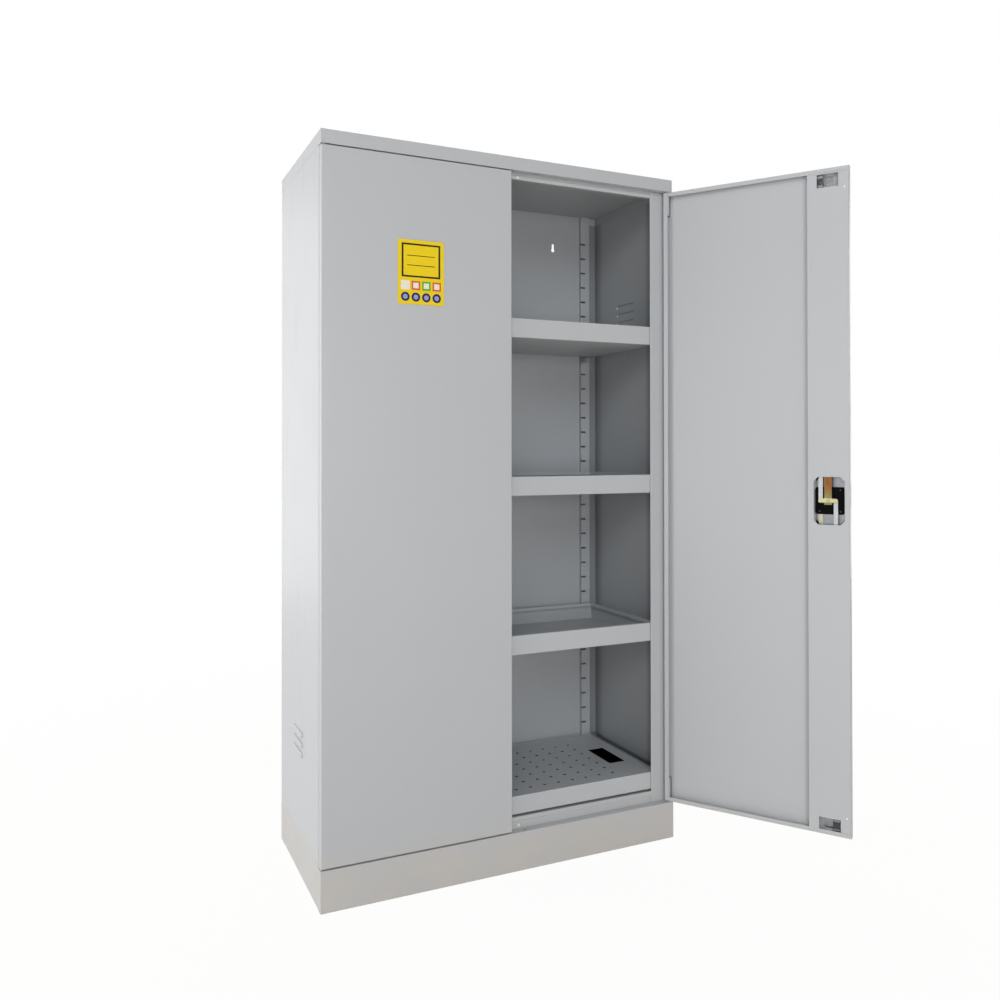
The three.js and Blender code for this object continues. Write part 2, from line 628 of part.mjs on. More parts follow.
function doorSkin(side) {
  const z = [DOOR_BOTTOM, DOOR_TOP];
  const inside = grown(z, -SHEET);
  const section = [
    [DOOR_FREE_EDGE, DOOR_BACK],
    [DOOR_FREE_EDGE, FRONT + BEND],
    [DOOR_FREE_EDGE + BEND, FRONT],
    [DOOR_HINGE_EDGE - BEND, FRONT],
    [DOOR_HINGE_EDGE, FRONT + BEND],
    [DOOR_HINGE_EDGE, DOOR_BACK],
  ];
  const freeWall = DOOR_FREE_EDGE + SHEET;
  const throughBack = [DOOR_BACK - SHEET - CUT_OVERRUN, DOOR_BACK + CUT_OVERRUN];
  const tools = [
    block(onSide(side, freeWall, DOOR_HINGE_EDGE - SHEET), [SKIN_BACK, DOOR_BACK - SHEET], inside),
    block(onSide(side, freeWall, DOOR_HINGE_EDGE - DOOR_SIDE_LIP), throughBack, grown(z, -DOOR_END_LIP)),
    block(onSide(side, freeWall, CHANNEL_INNER + SEAT_GAP), throughBack, inside),
    block(onSide(side, DOOR_FREE_EDGE - CUT_OVERRUN, freeWall + SHEET), TONGUE_LAYER, TONGUE_SLOT),
    cylinder('z', PIVOT_RADIUS + SEAT_GAP, [side * PIVOT_X, PIVOT_Y], grown(z, CUT_OVERRUN)),
  ];
  if (side > 0) {
    tools.push(
      rodSlot(UPPER_ROD_X, grown([DOOR_TOP, DOOR_TOP], CUT_OVERRUN)),
      rodSlot(LOWER_ROD_X, grown([DOOR_BOTTOM, DOOR_BOTTOM], CUT_OVERRUN)),
      cylinder('y', SPINDLE_HOLE_RADIUS, [LOCK_X, LOCK_HEIGHT], grown([FRONT, SKIN_BACK], CUT_OVERRUN)),
    );
  }
  return cutBy(extrude('z', side > 0 ? section : mirrored(section), z), tools);
}

const GUIDE_LEVELS = {
  upper: [DOOR_TOP - GUIDE_TOP_INSET - GUIDE_CUTOUT_HEIGHT, DOOR_TOP - GUIDE_TOP_INSET],
  lower: [DOOR_BOTTOM + GUIDE_BOTTOM_INSET, DOOR_BOTTOM + GUIDE_BOTTOM_INSET + GUIDE_CUTOUT_HEIGHT],
};

function lockWindow(depth) {
  const [left, right] = around(LOCK_X - LOCK_WINDOW_SHIFT, LOCK_WINDOW_WIDTH);
  const [low, high] = around(LOCK_HEIGHT, LOCK_WINDOW_HEIGHT);
  const cut = LOCK_WINDOW_CHAMFER;
  return extrude('y', [
    [left + cut, low], [right - cut, low], [right, low + cut], [right, high - cut],
    [right - cut, high], [left + cut, high], [left, high - cut], [left, low + cut],
  ], depth);
}

function doorChannel(side) {
  const foot = SKIN_BACK + SEAT_GAP;
  const section = bentSheet([
    [DOOR_FREE_EDGE + SHEET + SEAT_GAP, DOOR_BACK],
    [CHANNEL_INNER, DOOR_BACK],
    [CHANNEL_INNER, foot],
    [CHANNEL_INNER - CHANNEL_FOOT, foot],
  ].reverse(), SHEET);
  const heights = grown([DOOR_BOTTOM, DOOR_TOP], -SHEET - SEAT_GAP);
  const channel = extrude('z', side > 0 ? section : mirrored(section), heights);
  if (side < 0) {
    return channel;
  }
  const depth = [DOOR_BACK - SHEET - SEAT_GAP, DOOR_BACK + CUT_OVERRUN];
  const cutouts = Object.values(GUIDE_LEVELS).map((levels) =>
    block(around(LOCK_X - GUIDE_CUTOUT_SHIFT, GUIDE_CUTOUT_WIDTH), depth, levels));
  return cutBy(channel, [lockWindow(depth), ...cutouts]);
}

// A welded corner block with the pin that turns in the cap or in the plinth
function pivot(side, isTop) {
  const outer = DOOR_HINGE_EDGE - SHEET - SEAT_GAP;
  const wall = isTop ? DOOR_TOP - SHEET - SEAT_GAP : DOOR_BOTTOM + SHEET + SEAT_GAP;
  const away = isTop ? 1 : -1;
  const body = [wall, wall - away * PIVOT_BLOCK_HEIGHT].sort((a, b) => a - b);
  const pin = [wall - away * CUT_OVERRUN, wall + away * PIVOT_REACH].sort((a, b) => a - b);
  const depth = grown([SKIN_BACK, DOOR_BACK - SHEET], -SEAT_GAP);
  return united([
    block(onSide(side, outer - PIVOT_BLOCK_WIDTH, outer), depth, body),
    cylinder('z', PIVOT_RADIUS, [side * PIVOT_X, PIVOT_Y], pin),
  ]);
}

function signPlate() {
  const centre = -(DOOR_FREE_EDGE + DOOR_HINGE_EDGE) / 2;
  const top = DOOR_TOP - SIGN_TOP_DROP;
  const back = FRONT - SEAT_GAP;
  return block(around(centre, SIGN_WIDTH), [back - SIGN_THICKNESS, back], [top - SIGN_HEIGHT, top]);
}

function buffer(x, isHeader) {
  const z = isHeader ? HEADER_BOTTOM + BAND_WIDTH / 2 : PLINTH_HEIGHT + BUFFER_LOW_HEIGHT;
  const seat = isHeader ? BAND_FACE : WEB_FACE;
  return cylinder('y', BUFFER_RADIUS, [x, z], [DOOR_BACK + SEAT_GAP, seat - SEAT_GAP]);
}

// Lock pieces inside the right door

const squareHole = (depth) =>
  block(
    grown(around(LOCK_X, SPINDLE_SIZE), SEAT_GAP),
    depth,
    grown(around(LOCK_HEIGHT, SPINDLE_SIZE), SEAT_GAP),
  );

function lockPlate() {
  const face = [LOCK_PLATE_FACE - LOCK_PLATE_SHEET, LOCK_PLATE_FACE];
  const plate = block(around(LOCK_X - LOCK_WINDOW_SHIFT, LOCK_PLATE_WIDTH), face,
    around(LOCK_HEIGHT, LOCK_PLATE_HEIGHT));
  return plate.subtract(cylinder('y', SPINDLE_HOLE_RADIUS, [LOCK_X, LOCK_HEIGHT], grown(face, CUT_OVERRUN)));
}

function lockCase() {
  const depth = [LOCK_CASE_FACE - LOCK_CASE_DEPTH, LOCK_CASE_FACE];
  const body = block(around(LOCK_X - LOCK_WINDOW_SHIFT, LOCK_CASE_WIDTH), depth,
    around(LOCK_HEIGHT, LOCK_CASE_HEIGHT));
  return body.subtract(cylinder('y', SPINDLE_HOLE_RADIUS, [LOCK_X, LOCK_HEIGHT], grown(depth, CUT_OVERRUN)));
}

function lockCam() {
  const plate = [CAM_BACK, CAM_FACE];
  const hubDepth = [LOCK_CASE_FACE + SEAT_GAP, CAM_FACE];
  const body = united([
    cylinder('y', HUB_RADIUS, [LOCK_X, LOCK_HEIGHT], hubDepth),
    block(grown([LOCK_X, LOCK_X], CAM_ARM_REACH), plate, around(LOCK_HEIGHT, CAM_ARM_WIDTH)),
    block(around(LOCK_X, TONGUE_WIDTH), plate, [LOCK_HEIGHT - HUB_RADIUS, LOCK_HEIGHT + TONGUE_REACH]),
  ]);
  return body.subtract(squareHole(grown(hubDepth, CUT_OVERRUN)));
}

function lockRod(isUpper) {
  const z = isUpper
    ? [LOCK_HEIGHT - ROD_OVERLAP, DOOR_TOP - ROD_END_INSET]
    : [DOOR_BOTTOM + ROD_END_INSET, LOCK_HEIGHT + ROD_OVERLAP];
  return block(around(isUpper ? UPPER_ROD_X : LOWER_ROD_X, ROD_WIDTH), [ROD_BACK, ROD_FACE], z);
}

// A hat-shaped bracket that bridges a rod, with its long foot towards the middle of the cut-out
function rodGuide(isUpper) {
  const inward = isUpper ? -1 : 1;
  const centre = isUpper ? UPPER_ROD_X : LOWER_ROD_X;
  const halfInside = ROD_WIDTH / 2 + GUIDE_ROD_CLEARANCE + GUIDE_WALL;
  const foot = SKIN_BACK + SEAT_GAP + GUIDE_WALL;
  const crown = ROD_FACE + GUIDE_ROD_CLEARANCE + GUIDE_WALL;
  const section = bentSheet([
    [centre - inward * (halfInside + GUIDE_SHORT_FOOT), foot],
    [centre - inward * halfInside, foot],
    [centre - inward * halfInside, crown],
    [centre + inward * halfInside, crown],
    [centre + inward * halfInside, foot],
    [centre + inward * (halfInside + GUIDE_FOOT), foot],
  ], -inward * GUIDE_WALL);
  const [low, high] = GUIDE_LEVELS[isUpper ? 'upper' : 'lower'];
  return extrude('z', inward > 0 ? [...section].reverse() : section, around((low + high) / 2, GUIDE_HEIGHT));
}

// Outside of the right door

const LOCK_AXIS = [LOCK_X, LOCK_HEIGHT];
const ROSE_FACE = FRONT - SEAT_GAP - ROSE_THICKNESS;
const GRIP_BACK = ROSE_FACE - SEAT_GAP;
const GRIP_FACE = GRIP_BACK - GRIP_HEIGHT;

function rose() {
  const depth = [ROSE_FACE, ROSE_FACE + ROSE_THICKNESS];
  return cylinder('y', ROSE_RADIUS, LOCK_AXIS, depth)
    .subtract(cylinder('y', SPINDLE_HOLE_RADIUS, LOCK_AXIS, grown(depth, CUT_OVERRUN)));
}

function turnGrip() {
  const body = united([
    cylinder('y', GRIP_HUB_RADIUS, LOCK_AXIS, [GRIP_BACK - GRIP_HUB_HEIGHT, GRIP_BACK]),
    block(around(LOCK_X, GRIP_LENGTH), [GRIP_FACE, GRIP_BACK - LAYER_GAP], around(LOCK_HEIGHT, GRIP_WIDTH)),
    cylinder('y', KEY_RADIUS + KEY_CLEARANCE + KEY_COLLAR_WALL, LOCK_AXIS, [GRIP_FACE, GRIP_BACK]),
  ]);
  return cutBy(body, [
    squareHole([GRIP_BACK - GRIP_HUB_HEIGHT, GRIP_BACK + CUT_OVERRUN]),
    cylinder('y', KEY_RADIUS + KEY_CLEARANCE, LOCK_AXIS, [GRIP_FACE - CUT_OVERRUN, GRIP_FACE + KEY_DEPTH]),
  ]);
}

function spindle() {
  const ends = [GRIP_BACK - GRIP_HUB_HEIGHT + SEAT_GAP, CAM_FACE];
  return block(around(LOCK_X, SPINDLE_SIZE), ends, around(LOCK_HEIGHT, SPINDLE_SIZE));
}

function keyCylinder() {
  const front = GRIP_FACE - KEY_STAND;
  const slot = block(around(LOCK_X, KEY_SLOT_WIDTH), [front - CUT_OVERRUN, front + KEY_SLOT_DEPTH],
    around(LOCK_HEIGHT, KEY_SLOT_LENGTH));
  return cylinder('y', KEY_RADIUS, LOCK_AXIS, [front, GRIP_FACE + KEY_DEPTH - SEAT_GAP]).subtract(slot);
}

// Assembly

const SIDES = [['left', -1], ['right', 1]];

for (const [label, side] of SIDES) {
  place(cabinet, `side_panel_${label}`, sidePanel(side, side < 0 ? LOUVRE_LOW_Z : HEIGHT - LOUVRE_BELOW_TOP), PAINT);
  place(cabinet, `plinth_side_${label}`, plinthSide(side), PAINT);
  place(cabinet, `post_rear_${label}`, rearPost(side), PAINT);
  place(cabinet, `post_front_${label}`, frontPost(side), PAINT);
  place(cabinet, `buffer_header_${label}`, buffer(side * BUFFER_X, true), WHITE_NYLON);
  place(cabinet, `buffer_sill_${label}`, buffer(side * BUFFER_X, false), WHITE_NYLON);
  SHELF_SLOTS.forEach((slot, i) => {
    place(cabinet, `clip_${i + 1}_rear_${label}`, rearClip(side, slot), ZINC);
    place(cabinet, `clip_${i + 1}_front_${label}`, frontClip(side, slot), ZINC);
  });
}
place(cabinet, 'back_panel', backPanel(), PAINT);
place(cabinet, 'top_cap', topCap(), PAINT);
place(cabinet, 'ceiling_panel', ceilingPanel(), PAINT);
place(cabinet, 'header_rail', headerRail(), PAINT);
place(cabinet, 'sill_rail', sillRail(), PAINT);
place(cabinet, 'bottom_panel', bottomPanel(), PAINT);
place(cabinet, 'plinth_front', plinthEnd(true), PAINT);
place(cabinet, 'plinth_back', plinthEnd(false), PAINT);
place(cabinet, 'base_rail', baseRail(), PAINT);
SHELF_SLOTS.forEach((slot, i) => place(cabinet, `shelf_tray_${i + 1}`, shelfTray(slot), PAINT));
place(cabinet, 'sump_tray', sumpTray(), PAINT);
place(cabinet, 'perforated_floor', perforatedFloor(), PAINT);

place(cabinet, 'door_left_skin', doorSkin(-1), PAINT);
place(cabinet, 'door_left_channel', doorChannel(-1), PAINT);
place(cabinet, 'pivot_left_top', pivot(-1, true), STEEL);
place(cabinet, 'pivot_left_bottom', pivot(-1, false), STEEL);
place(cabinet, 'sign_plate', signPlate(), SIGN);

// The right door stands open, turned about its pivot pins
const swing = new THREE.Group();
swing.position.set(PIVOT_X, PIVOT_Y, 0);
swing.rotation.z = THREE.MathUtils.degToRad(RIGHT_DOOR_OPEN);
cabinet.add(swing);
const rightDoor = new THREE.Group();
rightDoor.position.set(-PIVOT_X, -PIVOT_Y, 0);
swing.add(rightDoor);

place(rightDoor, 'door_right_skin', doorSkin(1), PAINT);
place(rightDoor, 'door_right_channel', doorChannel(1), PAINT);
place(rightDoor, 'pivot_right_top', pivot(1, true), STEEL);
place(rightDoor, 'pivot_right_bottom', pivot(1, false), STEEL);
place(rightDoor, 'lock_plate', lockPlate(), ZINC);
place(rightDoor, 'lock_case', lockCase(), BLACK_PLASTIC);
place(rightDoor, 'lock_cam', lockCam(), BRASS);
place(rightDoor, 'lock_spindle', spindle(), STEEL);
place(rightDoor, 'lock_rod_upper', lockRod(true), ZINC);
place(rightDoor, 'lock_rod_lower', lockRod(false), ZINC);
place(rightDoor, 'rod_guide_upper', rodGuide(true), ZINC);
place(rightDoor, 'rod_guide_lower', rodGuide(false), ZINC);
place(rightDoor, 'grip_rose', rose(), BLACK_PLASTIC);
place(rightDoor, 'turn_grip', turnGrip(), BLACK_PLASTIC);
place(rightDoor, 'key_cylinder', keyCylinder(), ZINC);

export default cabinet;
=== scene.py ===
"""Dresses the packed frame of a two-door steel safety cabinet and lights it in a plain studio.

Laid out as an add-on and run as a script. Every place is in metres, in the frame of the CAD nodes.
Pieces of the right door are drawn on the closed door and then turned to where the door stands.
"""

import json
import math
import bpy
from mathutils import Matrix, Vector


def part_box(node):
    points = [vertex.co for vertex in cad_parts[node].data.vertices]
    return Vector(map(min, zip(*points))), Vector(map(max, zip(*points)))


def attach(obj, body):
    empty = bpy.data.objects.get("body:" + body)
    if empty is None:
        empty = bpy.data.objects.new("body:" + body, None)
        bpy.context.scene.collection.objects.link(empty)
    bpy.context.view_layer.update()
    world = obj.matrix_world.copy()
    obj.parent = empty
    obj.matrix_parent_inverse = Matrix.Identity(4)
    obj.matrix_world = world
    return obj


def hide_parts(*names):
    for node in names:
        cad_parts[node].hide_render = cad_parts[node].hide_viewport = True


bl_info = {
    "name": "Safety Cabinet Pieces",
    "version": (1, 0, 0),
    "blender": (4, 5, 0),
    "location": "3D View > Sidebar > Safety Cabinet",
    "description": "Models the folded sheets, trays, doors, lock and finishes of a steel safety cabinet",
    "category": "Add Mesh",
}

import bmesh
import bpy
from bpy.props import FloatProperty, FloatVectorProperty, IntProperty, PointerProperty
from mathutils import Matrix, Vector

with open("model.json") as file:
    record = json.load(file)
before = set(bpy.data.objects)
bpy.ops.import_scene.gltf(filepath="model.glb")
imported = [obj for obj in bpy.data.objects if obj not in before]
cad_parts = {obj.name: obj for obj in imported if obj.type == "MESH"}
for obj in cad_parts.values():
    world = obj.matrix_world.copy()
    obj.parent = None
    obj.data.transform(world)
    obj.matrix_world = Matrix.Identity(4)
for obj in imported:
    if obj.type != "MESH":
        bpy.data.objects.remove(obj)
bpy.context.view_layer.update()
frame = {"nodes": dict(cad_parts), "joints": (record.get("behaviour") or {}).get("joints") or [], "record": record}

X, Y, Z = 0, 1, 2
JOINTS = {joint["name"]: joint for joint in frame["joints"]}
SLOTS = {part["node"]: part["material_slot"] for part in frame["record"]["subparts"]}
BODIES = {
    node: body
    for body, nodes in frame["record"]["behaviour"]["bodies"].items()
    for node in nodes
}


def swing_matrix():
    """The turn about the pivot pins that takes the closed right door to where it stands."""
    hinge = JOINTS["door_right_hinge"]
    pivot = Matrix.Translation(hinge["pos_m"])
    turn = Matrix.Rotation(math.radians(-hinge["range_deg"][0]), 4, "Z")
    return pivot @ turn @ pivot.inverted()


DOOR_SWING = swing_matrix()
FINISHES = {}


def closed_box(node):
    """Corners of a CAD node of the right door with the door turned shut."""
    shut = DOOR_SWING.inverted()
    places = [shut @ vertex.co for vertex in frame["nodes"][node].data.vertices]
    return Vector(map(min, zip(*places))), Vector(map(max, zip(*places)))


def spindle_axis():
    """Middle of the lock's spindle with the door shut."""
    low, high = closed_box("lock_spindle")
    return (low + high) / 2


# Sizes and colours


def metres(name, description, default):
    """A length that a user can change."""
    return FloatProperty(name=name, description=description, default=default, unit="LENGTH")


def how_many(name, description, default):
    return IntProperty(name=name, description=description, default=default)


def colour_of(name, description, default):
    return FloatVectorProperty(
        name=name, description=description, subtype="COLOR", default=default
    )


def watts(name, description, default):
    return FloatProperty(name=name, description=description, default=default, unit="POWER")


class SheetSizes(bpy.types.PropertyGroup):
    """Folded sheet that most pieces are made of."""

    thickness: metres("Sheet thickness", "Thickness of the painted sheet", 0.0012)
    bend: metres("Bend radius", "Outer radius of a fold", 0.0024)
    post_bend: metres("Post bend", "Outer radius of a fold of posts and channels", 0.0018)
    rail_bend: metres("Rail bend", "Outer radius of a fold of rails and rod guides", 0.0016)
    edge: metres("Edge radius", "Rounding that paint leaves on a cut edge", 0.00025)
    gap: metres("Sheet gap", "Gap between two sheets that are welded together", 0.0003)
    overrun: metres("Cut overrun", "How far a cutter runs past the sheet it cuts", 0.006)


class CarcassSizes(bpy.types.PropertyGroup):
    """Front frame, returns, louvres and keyholes of the carcass."""

    band: metres("Frame band", "Width of the raised band round the door opening", 0.011)
    cap_return: metres("Cap return", "Depth of the cap's front return flange", 0.02)
    rear_return: metres("Rear return", "Width of the side panels' rear returns", 0.035)
    plinth_return: metres("Plinth return", "Width of the plinth sides' foot", 0.015)
    tongue_front: metres("Tongue front", "Front end of the side panels' top tongue", -0.1863)
    tongue_back: metres("Tongue back", "Rear end of the side panels' top tongue", 0.21)
    tongue_corner: metres("Tongue corner", "Radius of the tongue's corners", 0.008)
    louvre_count: how_many("Louvres", "Louvres in one side panel", 3)
    louvre_length: metres("Louvre length", "Length of one louvre", 0.105)
    louvre_pitch: metres("Louvre pitch", "Distance between louvres", 0.027)
    louvre_drop: metres("Louvre height", "Height of one louvre", 0.013)
    louvre_setback: metres("Louvre setback", "From the front to the louvres' middle", 0.262)
    louvre_low: metres("Left louvre height", "Height of the left side's middle louvre", 0.365)
    louvre_high: metres("Right louvre height", "Height of the right side's middle louvre", 1.627)
    keyhole_x: metres("Keyhole place", "From the middle to a keyhole", 0.37)
    keyhole_height: metres("Keyhole height", "Height of the keyholes' round bores", 1.86)
    keyhole_rise: metres("Keyhole rise", "From a keyhole's bore up to the end of its neck", 0.018)
    keyhole_bore: metres("Keyhole bore", "Radius of a keyhole's bore", 0.006)
    keyhole_neck: metres("Keyhole neck", "Half the width of a keyhole's neck", 0.004)
    ceiling_hole_x: metres("Ceiling hole place", "From the middle to the ceiling's hole", 0.398)
    ceiling_hole_y: metres("Ceiling hole depth", "Place of that hole from front to back", 0.101)
    ceiling_hole_radius: metres("Ceiling hole radius", "Radius of the ceiling's hole", 0.004)


class PostSizes(bpy.types.PropertyGroup):
    """Slotted shelf posts."""

    slot_pitch: metres("Slot pitch", "Distance between slots", 0.05)
    slot_first: metres("First slot", "Height of the lowest slot", 0.2375)
    slot_count: how_many("Slots", "Slots in one post", 34)
    slot_height: metres("Slot height", "Height of one slot", 0.006)
    slot_width: metres("Slot width", "Width of a slot on the post's face", 0.017)
    slot_wrap: metres("Slot wrap", "How far a slot runs round the post's corner", 0.007)


class TraySizes(bpy.types.PropertyGroup):
    """Shelf trays, sump tray and perforated floor."""

    hem: metres("Rim width", "Width of a shelf tray's folded rim", 0.012)
    hem_drop: metres("Rim drop", "Depth of the rim's inner lip", 0.01)
    hem_bend: metres("Rim bend", "Outer radius of the rim's fold", 0.0018)
    foot_width: metres("Foot width", "Width of the sump tray's feet", 0.03)
    foot_x: metres("Foot place", "From the middle to a foot of the sump tray", 0.3)
    foot_inset: metres("Foot inset", "From the tray's front and back to a foot's ends", 0.035)
    hole_pitch: metres("Hole pitch", "Distance between the floor's holes", 0.0464)
    hole_radius: metres("Hole radius", "Radius of the floor's holes", 0.0052)
    hole_setback: metres("Hole setback", "From the sump's front to the holes' middle row", 0.19)
    columns: how_many("Columns", "Holes across the floor", 17)
    rows: how_many("Rows", "Holes along the floor", 7)
    grip_x: metres("Grip hole place", "From the middle to a grip hole", 0.4335)
    grip_width: metres("Grip hole width", "Width of a grip hole", 0.055)
    grip_length: metres("Grip hole length", "Length of a grip hole", 0.137)
    grip_corner: metres("Grip hole corner", "Radius of a grip hole's corners", 0.0025)


class DoorSizes(bpy.types.PropertyGroup):
    """Door skins and their channels."""

    side_lip: metres("Side lip", "Width of the lip on the pivot side", 0.014)
    end_lip: metres("End lip", "Width of the lips at the top and bottom", 0.0125)
    relief: metres("Corner relief", "Gap between the lips at a corner", 0.0012)
    pin_hole: metres("Pin hole", "Radius of the pivot pins' holes in the skins", 0.0043)
    pin_passage: metres("Pin passage", "Radius of the pins' holes in cap and plinth", 0.0046)
    rod_play: metres("Rod play", "Gap round a lock rod in its slots", 0.001)
    slot_drop: metres("Tongue slot drop", "The cam's slot, below the spindle", 0.013)
    slot_rise: metres("Tongue slot rise", "The cam's slot, above the spindle", 0.045)
    channel_foot: metres("Channel foot", "Width of the channel's welded foot", 0.012)
    plug_radius: metres("Plug radius", "Radius of the small plugs at the lock edge", 0.0028)
    plug_head: metres("Plug head", "Height of a plug's head", 0.0012)
    plug_inset: metres("Plug inset", "From the door's free edge to a plug", 0.0115)
    plug_top: metres("Upper plug", "From the door's top to the upper plug", 0.058)
    plug_bottom: metres("Lower plug", "From the door's bottom to the lower plug", 0.054)


class LockSizes(bpy.types.PropertyGroup):
    """Lock behind the right door's channel, and the grip in front of it."""

    shaft_hole: metres("Shaft hole", "Radius of the holes round the spindle", 0.008)
    square: metres("Square hole", "Half the width of the square hole for the spindle", 0.0043)
    window_width: metres("Window width", "Width of the lock's window in the channel", 0.0826)
    window_height: metres("Window height", "Height of the lock's window", 0.133)
    window_corner: metres("Window corner", "Length cut off each corner of the window", 0.012)
    guide_width: metres("Guide window width", "Width of a rod guide's window", 0.0575)
    guide_height: metres("Guide window height", "Height of a rod guide's window", 0.037)
    guide_shift: metres("Guide window shift", "From the case's middle to the window's", 0.0013)
    guide_top: metres("Upper guide window", "From the door's top to its upper window", 0.016)
    guide_bottom: metres("Lower guide window", "From the door's bottom to its window", 0.009)
    guide_wall: metres("Guide wall", "Thickness of the rod guides", 0.0015)
    plate_corner: metres("Plate corner", "Length cut off each corner of the plate", 0.016)
    screw_x: metres("Screw place", "From the case's middle to a screw, sideways", 0.028)
    screw_z: metres("Screw height", "From the spindle to a screw, up or down", 0.03)
    screw_radius: metres("Screw radius", "Radius of a screw's head", 0.0026)
    arm: metres("Arm", "Half the height of the cam's arms", 0.006)
    tongue: metres("Tongue", "Half the width of the cam's tongue", 0.01)
    hub: metres("Hub", "Radius of the cam's hub", 0.011)
    rod_stop: metres("Rod stop", "From the spindle's height to a rod's inner end", 0.005)
    grip_radius: metres("Grip radius", "Radius of the turn grip's hub", 0.019)
    grip_depth: metres("Grip depth", "Depth of the turn grip's hub", 0.012)
    wing: metres("Wing", "Half the height of the turn grip's wings", 0.0075)


class Finishes(bpy.types.PropertyGroup):
    """Colours of the finishes."""

    paint: colour_of("Paint", "Light grey powder coat", (0.448, 0.472, 0.497))
    zinc: colour_of("Zinc plate", "Bright zinc plate of the hardware", (0.46, 0.465, 0.48))
    # Partly painted shade: this darker zinc also stands in for the shade inside the lock's recessed windows.
    dull_zinc: colour_of(
        "Dull zinc", "Weathered zinc of the lock's plate and the rod guides", (0.27, 0.275, 0.29)
    )
    chromate: colour_of("Yellow chromate", "Yellow passivated cam", (0.26, 0.24, 0.10))
    tab: colour_of(
        "Warm zinc", "Aged zinc of the spindle and the tab below the cam", (0.46, 0.42, 0.32)
    )
    plastic: colour_of(
        "Black plastic", "Moulded lock case and grip", (0.0028, 0.0028, 0.0032)
    )
    # Painted shade: near black for the inside of the sump tray, where the closed tray is in shade.
    lining: colour_of("Sump lining", "Black coat inside the sump tray", (0.004, 0.004, 0.0045))
    nylon: colour_of("White nylon", "Door buffers and plugs", (0.80, 0.80, 0.78))
    steel: colour_of("Steel", "Plain machined pins", (0.42, 0.42, 0.43))
    sign: colour_of("Plate yellow", "Ground colour of the door plate", (0.80, 0.60, 0.012))


class StudioSettings(bpy.types.PropertyGroup):
    """Lamps, surroundings and camera."""

    near_power: watts("Near lamp", "Power of the small box beside the left side", 8.0)
    left_power: watts("Left lamp", "Power of the soft box on the left", 81.0)
    high_power: watts("High lamp", "Power of the high soft box in front", 113.0)
    front_power: watts("Front lamp", "Power of the level box behind the camera", 44.0)
    back_power: watts("Back card", "Power of the tall card behind the left side", 31.0)
    right_power: watts("Right card", "Power of the card behind the open door", 60.0)
    top_power: watts("Top card", "Power of the card above the cap", 36.0)
    ambient: FloatProperty(name="Ambient", description="Light from all round", default=0.32)
    lens: FloatProperty(
        name="Lens", description="Focal length on a 36 mm sensor", default=32.422, unit="CAMERA"
    )
    camera_place: FloatVectorProperty(
        name="Camera place",
        description="Where the camera stands",
        subtype="XYZ",
        unit="LENGTH",
        default=(-1.08505, -2.52158, 1.18103),
    )
    camera_turn: FloatVectorProperty(
        name="Camera turn",
        description="Heading to the right, tilt up and roll",
        unit="ROTATION",
        default=(math.radians(24.9271), math.radians(0.4386), math.radians(-0.0582)),
    )
    camera_shift: FloatVectorProperty(
        name="Camera shift",
        description="Lens shift as shares of the picture",
        size=2,
        default=(-0.00301, -0.05832),
    )


GROUPS = {
    "cabinet_sheet": SheetSizes,
    "cabinet_carcass": CarcassSizes,
    "cabinet_posts": PostSizes,
    "cabinet_trays": TraySizes,
    "cabinet_doors": DoorSizes,
    "cabinet_lock": LockSizes,
    "cabinet_finishes": Finishes,
    "cabinet_studio": StudioSettings,
}


def context_sizes(group):
    """The values of one of the groups above."""
    return getattr(bpy.context.scene, f"cabinet_{group}")



# Modelling by hand: one object at a time, shaped in edit mode


def only(obj):
    """Leaves one object selected and active."""
    bpy.ops.object.select_all(action="DESELECT")
    obj.select_set(True)
    bpy.context.view_layer.objects.active = obj


def settle(obj, name=None):
    """Puts an object's place, turn and size into its mesh."""
    only(obj)
    bpy.ops.object.transform_apply(location=True, rotation=True, scale=True)
    if name:
        obj.name = name
        obj.data.name = name
    return obj


def turned(obj, matrix):
    """Moves a settled object's mesh by a matrix."""
    obj.matrix_world = matrix
    bpy.context.view_layer.update()
    return settle(obj)


def cube(name, low, high):
    """A block between two corners."""
    low, high = Vector(low), Vector(high)
    bpy.ops.object.select_all(action="DESELECT")
    bpy.ops.mesh.primitive_cube_add(size=1, location=(low + high) / 2)
    bpy.context.object.scale = high - low
    return settle(bpy.context.object, name)


def cylinder(name, axis, centre, radius, ends, sides=32):
    """A round bar along an axis; centre holds its two other coordinates in X, Y, Z order."""
    place = list(centre)
    place.insert(axis, sum(ends) / 2)
    turn = {X: (0, math.pi / 2, 0), Y: (math.pi / 2, 0, 0), Z: (0, 0, 0)}[axis]
    bpy.ops.object.select_all(action="DESELECT")
    bpy.ops.mesh.primitive_cylinder_add(
        vertices=sides,
        radius=radius,
        depth=ends[1] - ends[0],
        location=place,
        rotation=turn,
    )
    return settle(bpy.context.object, name)


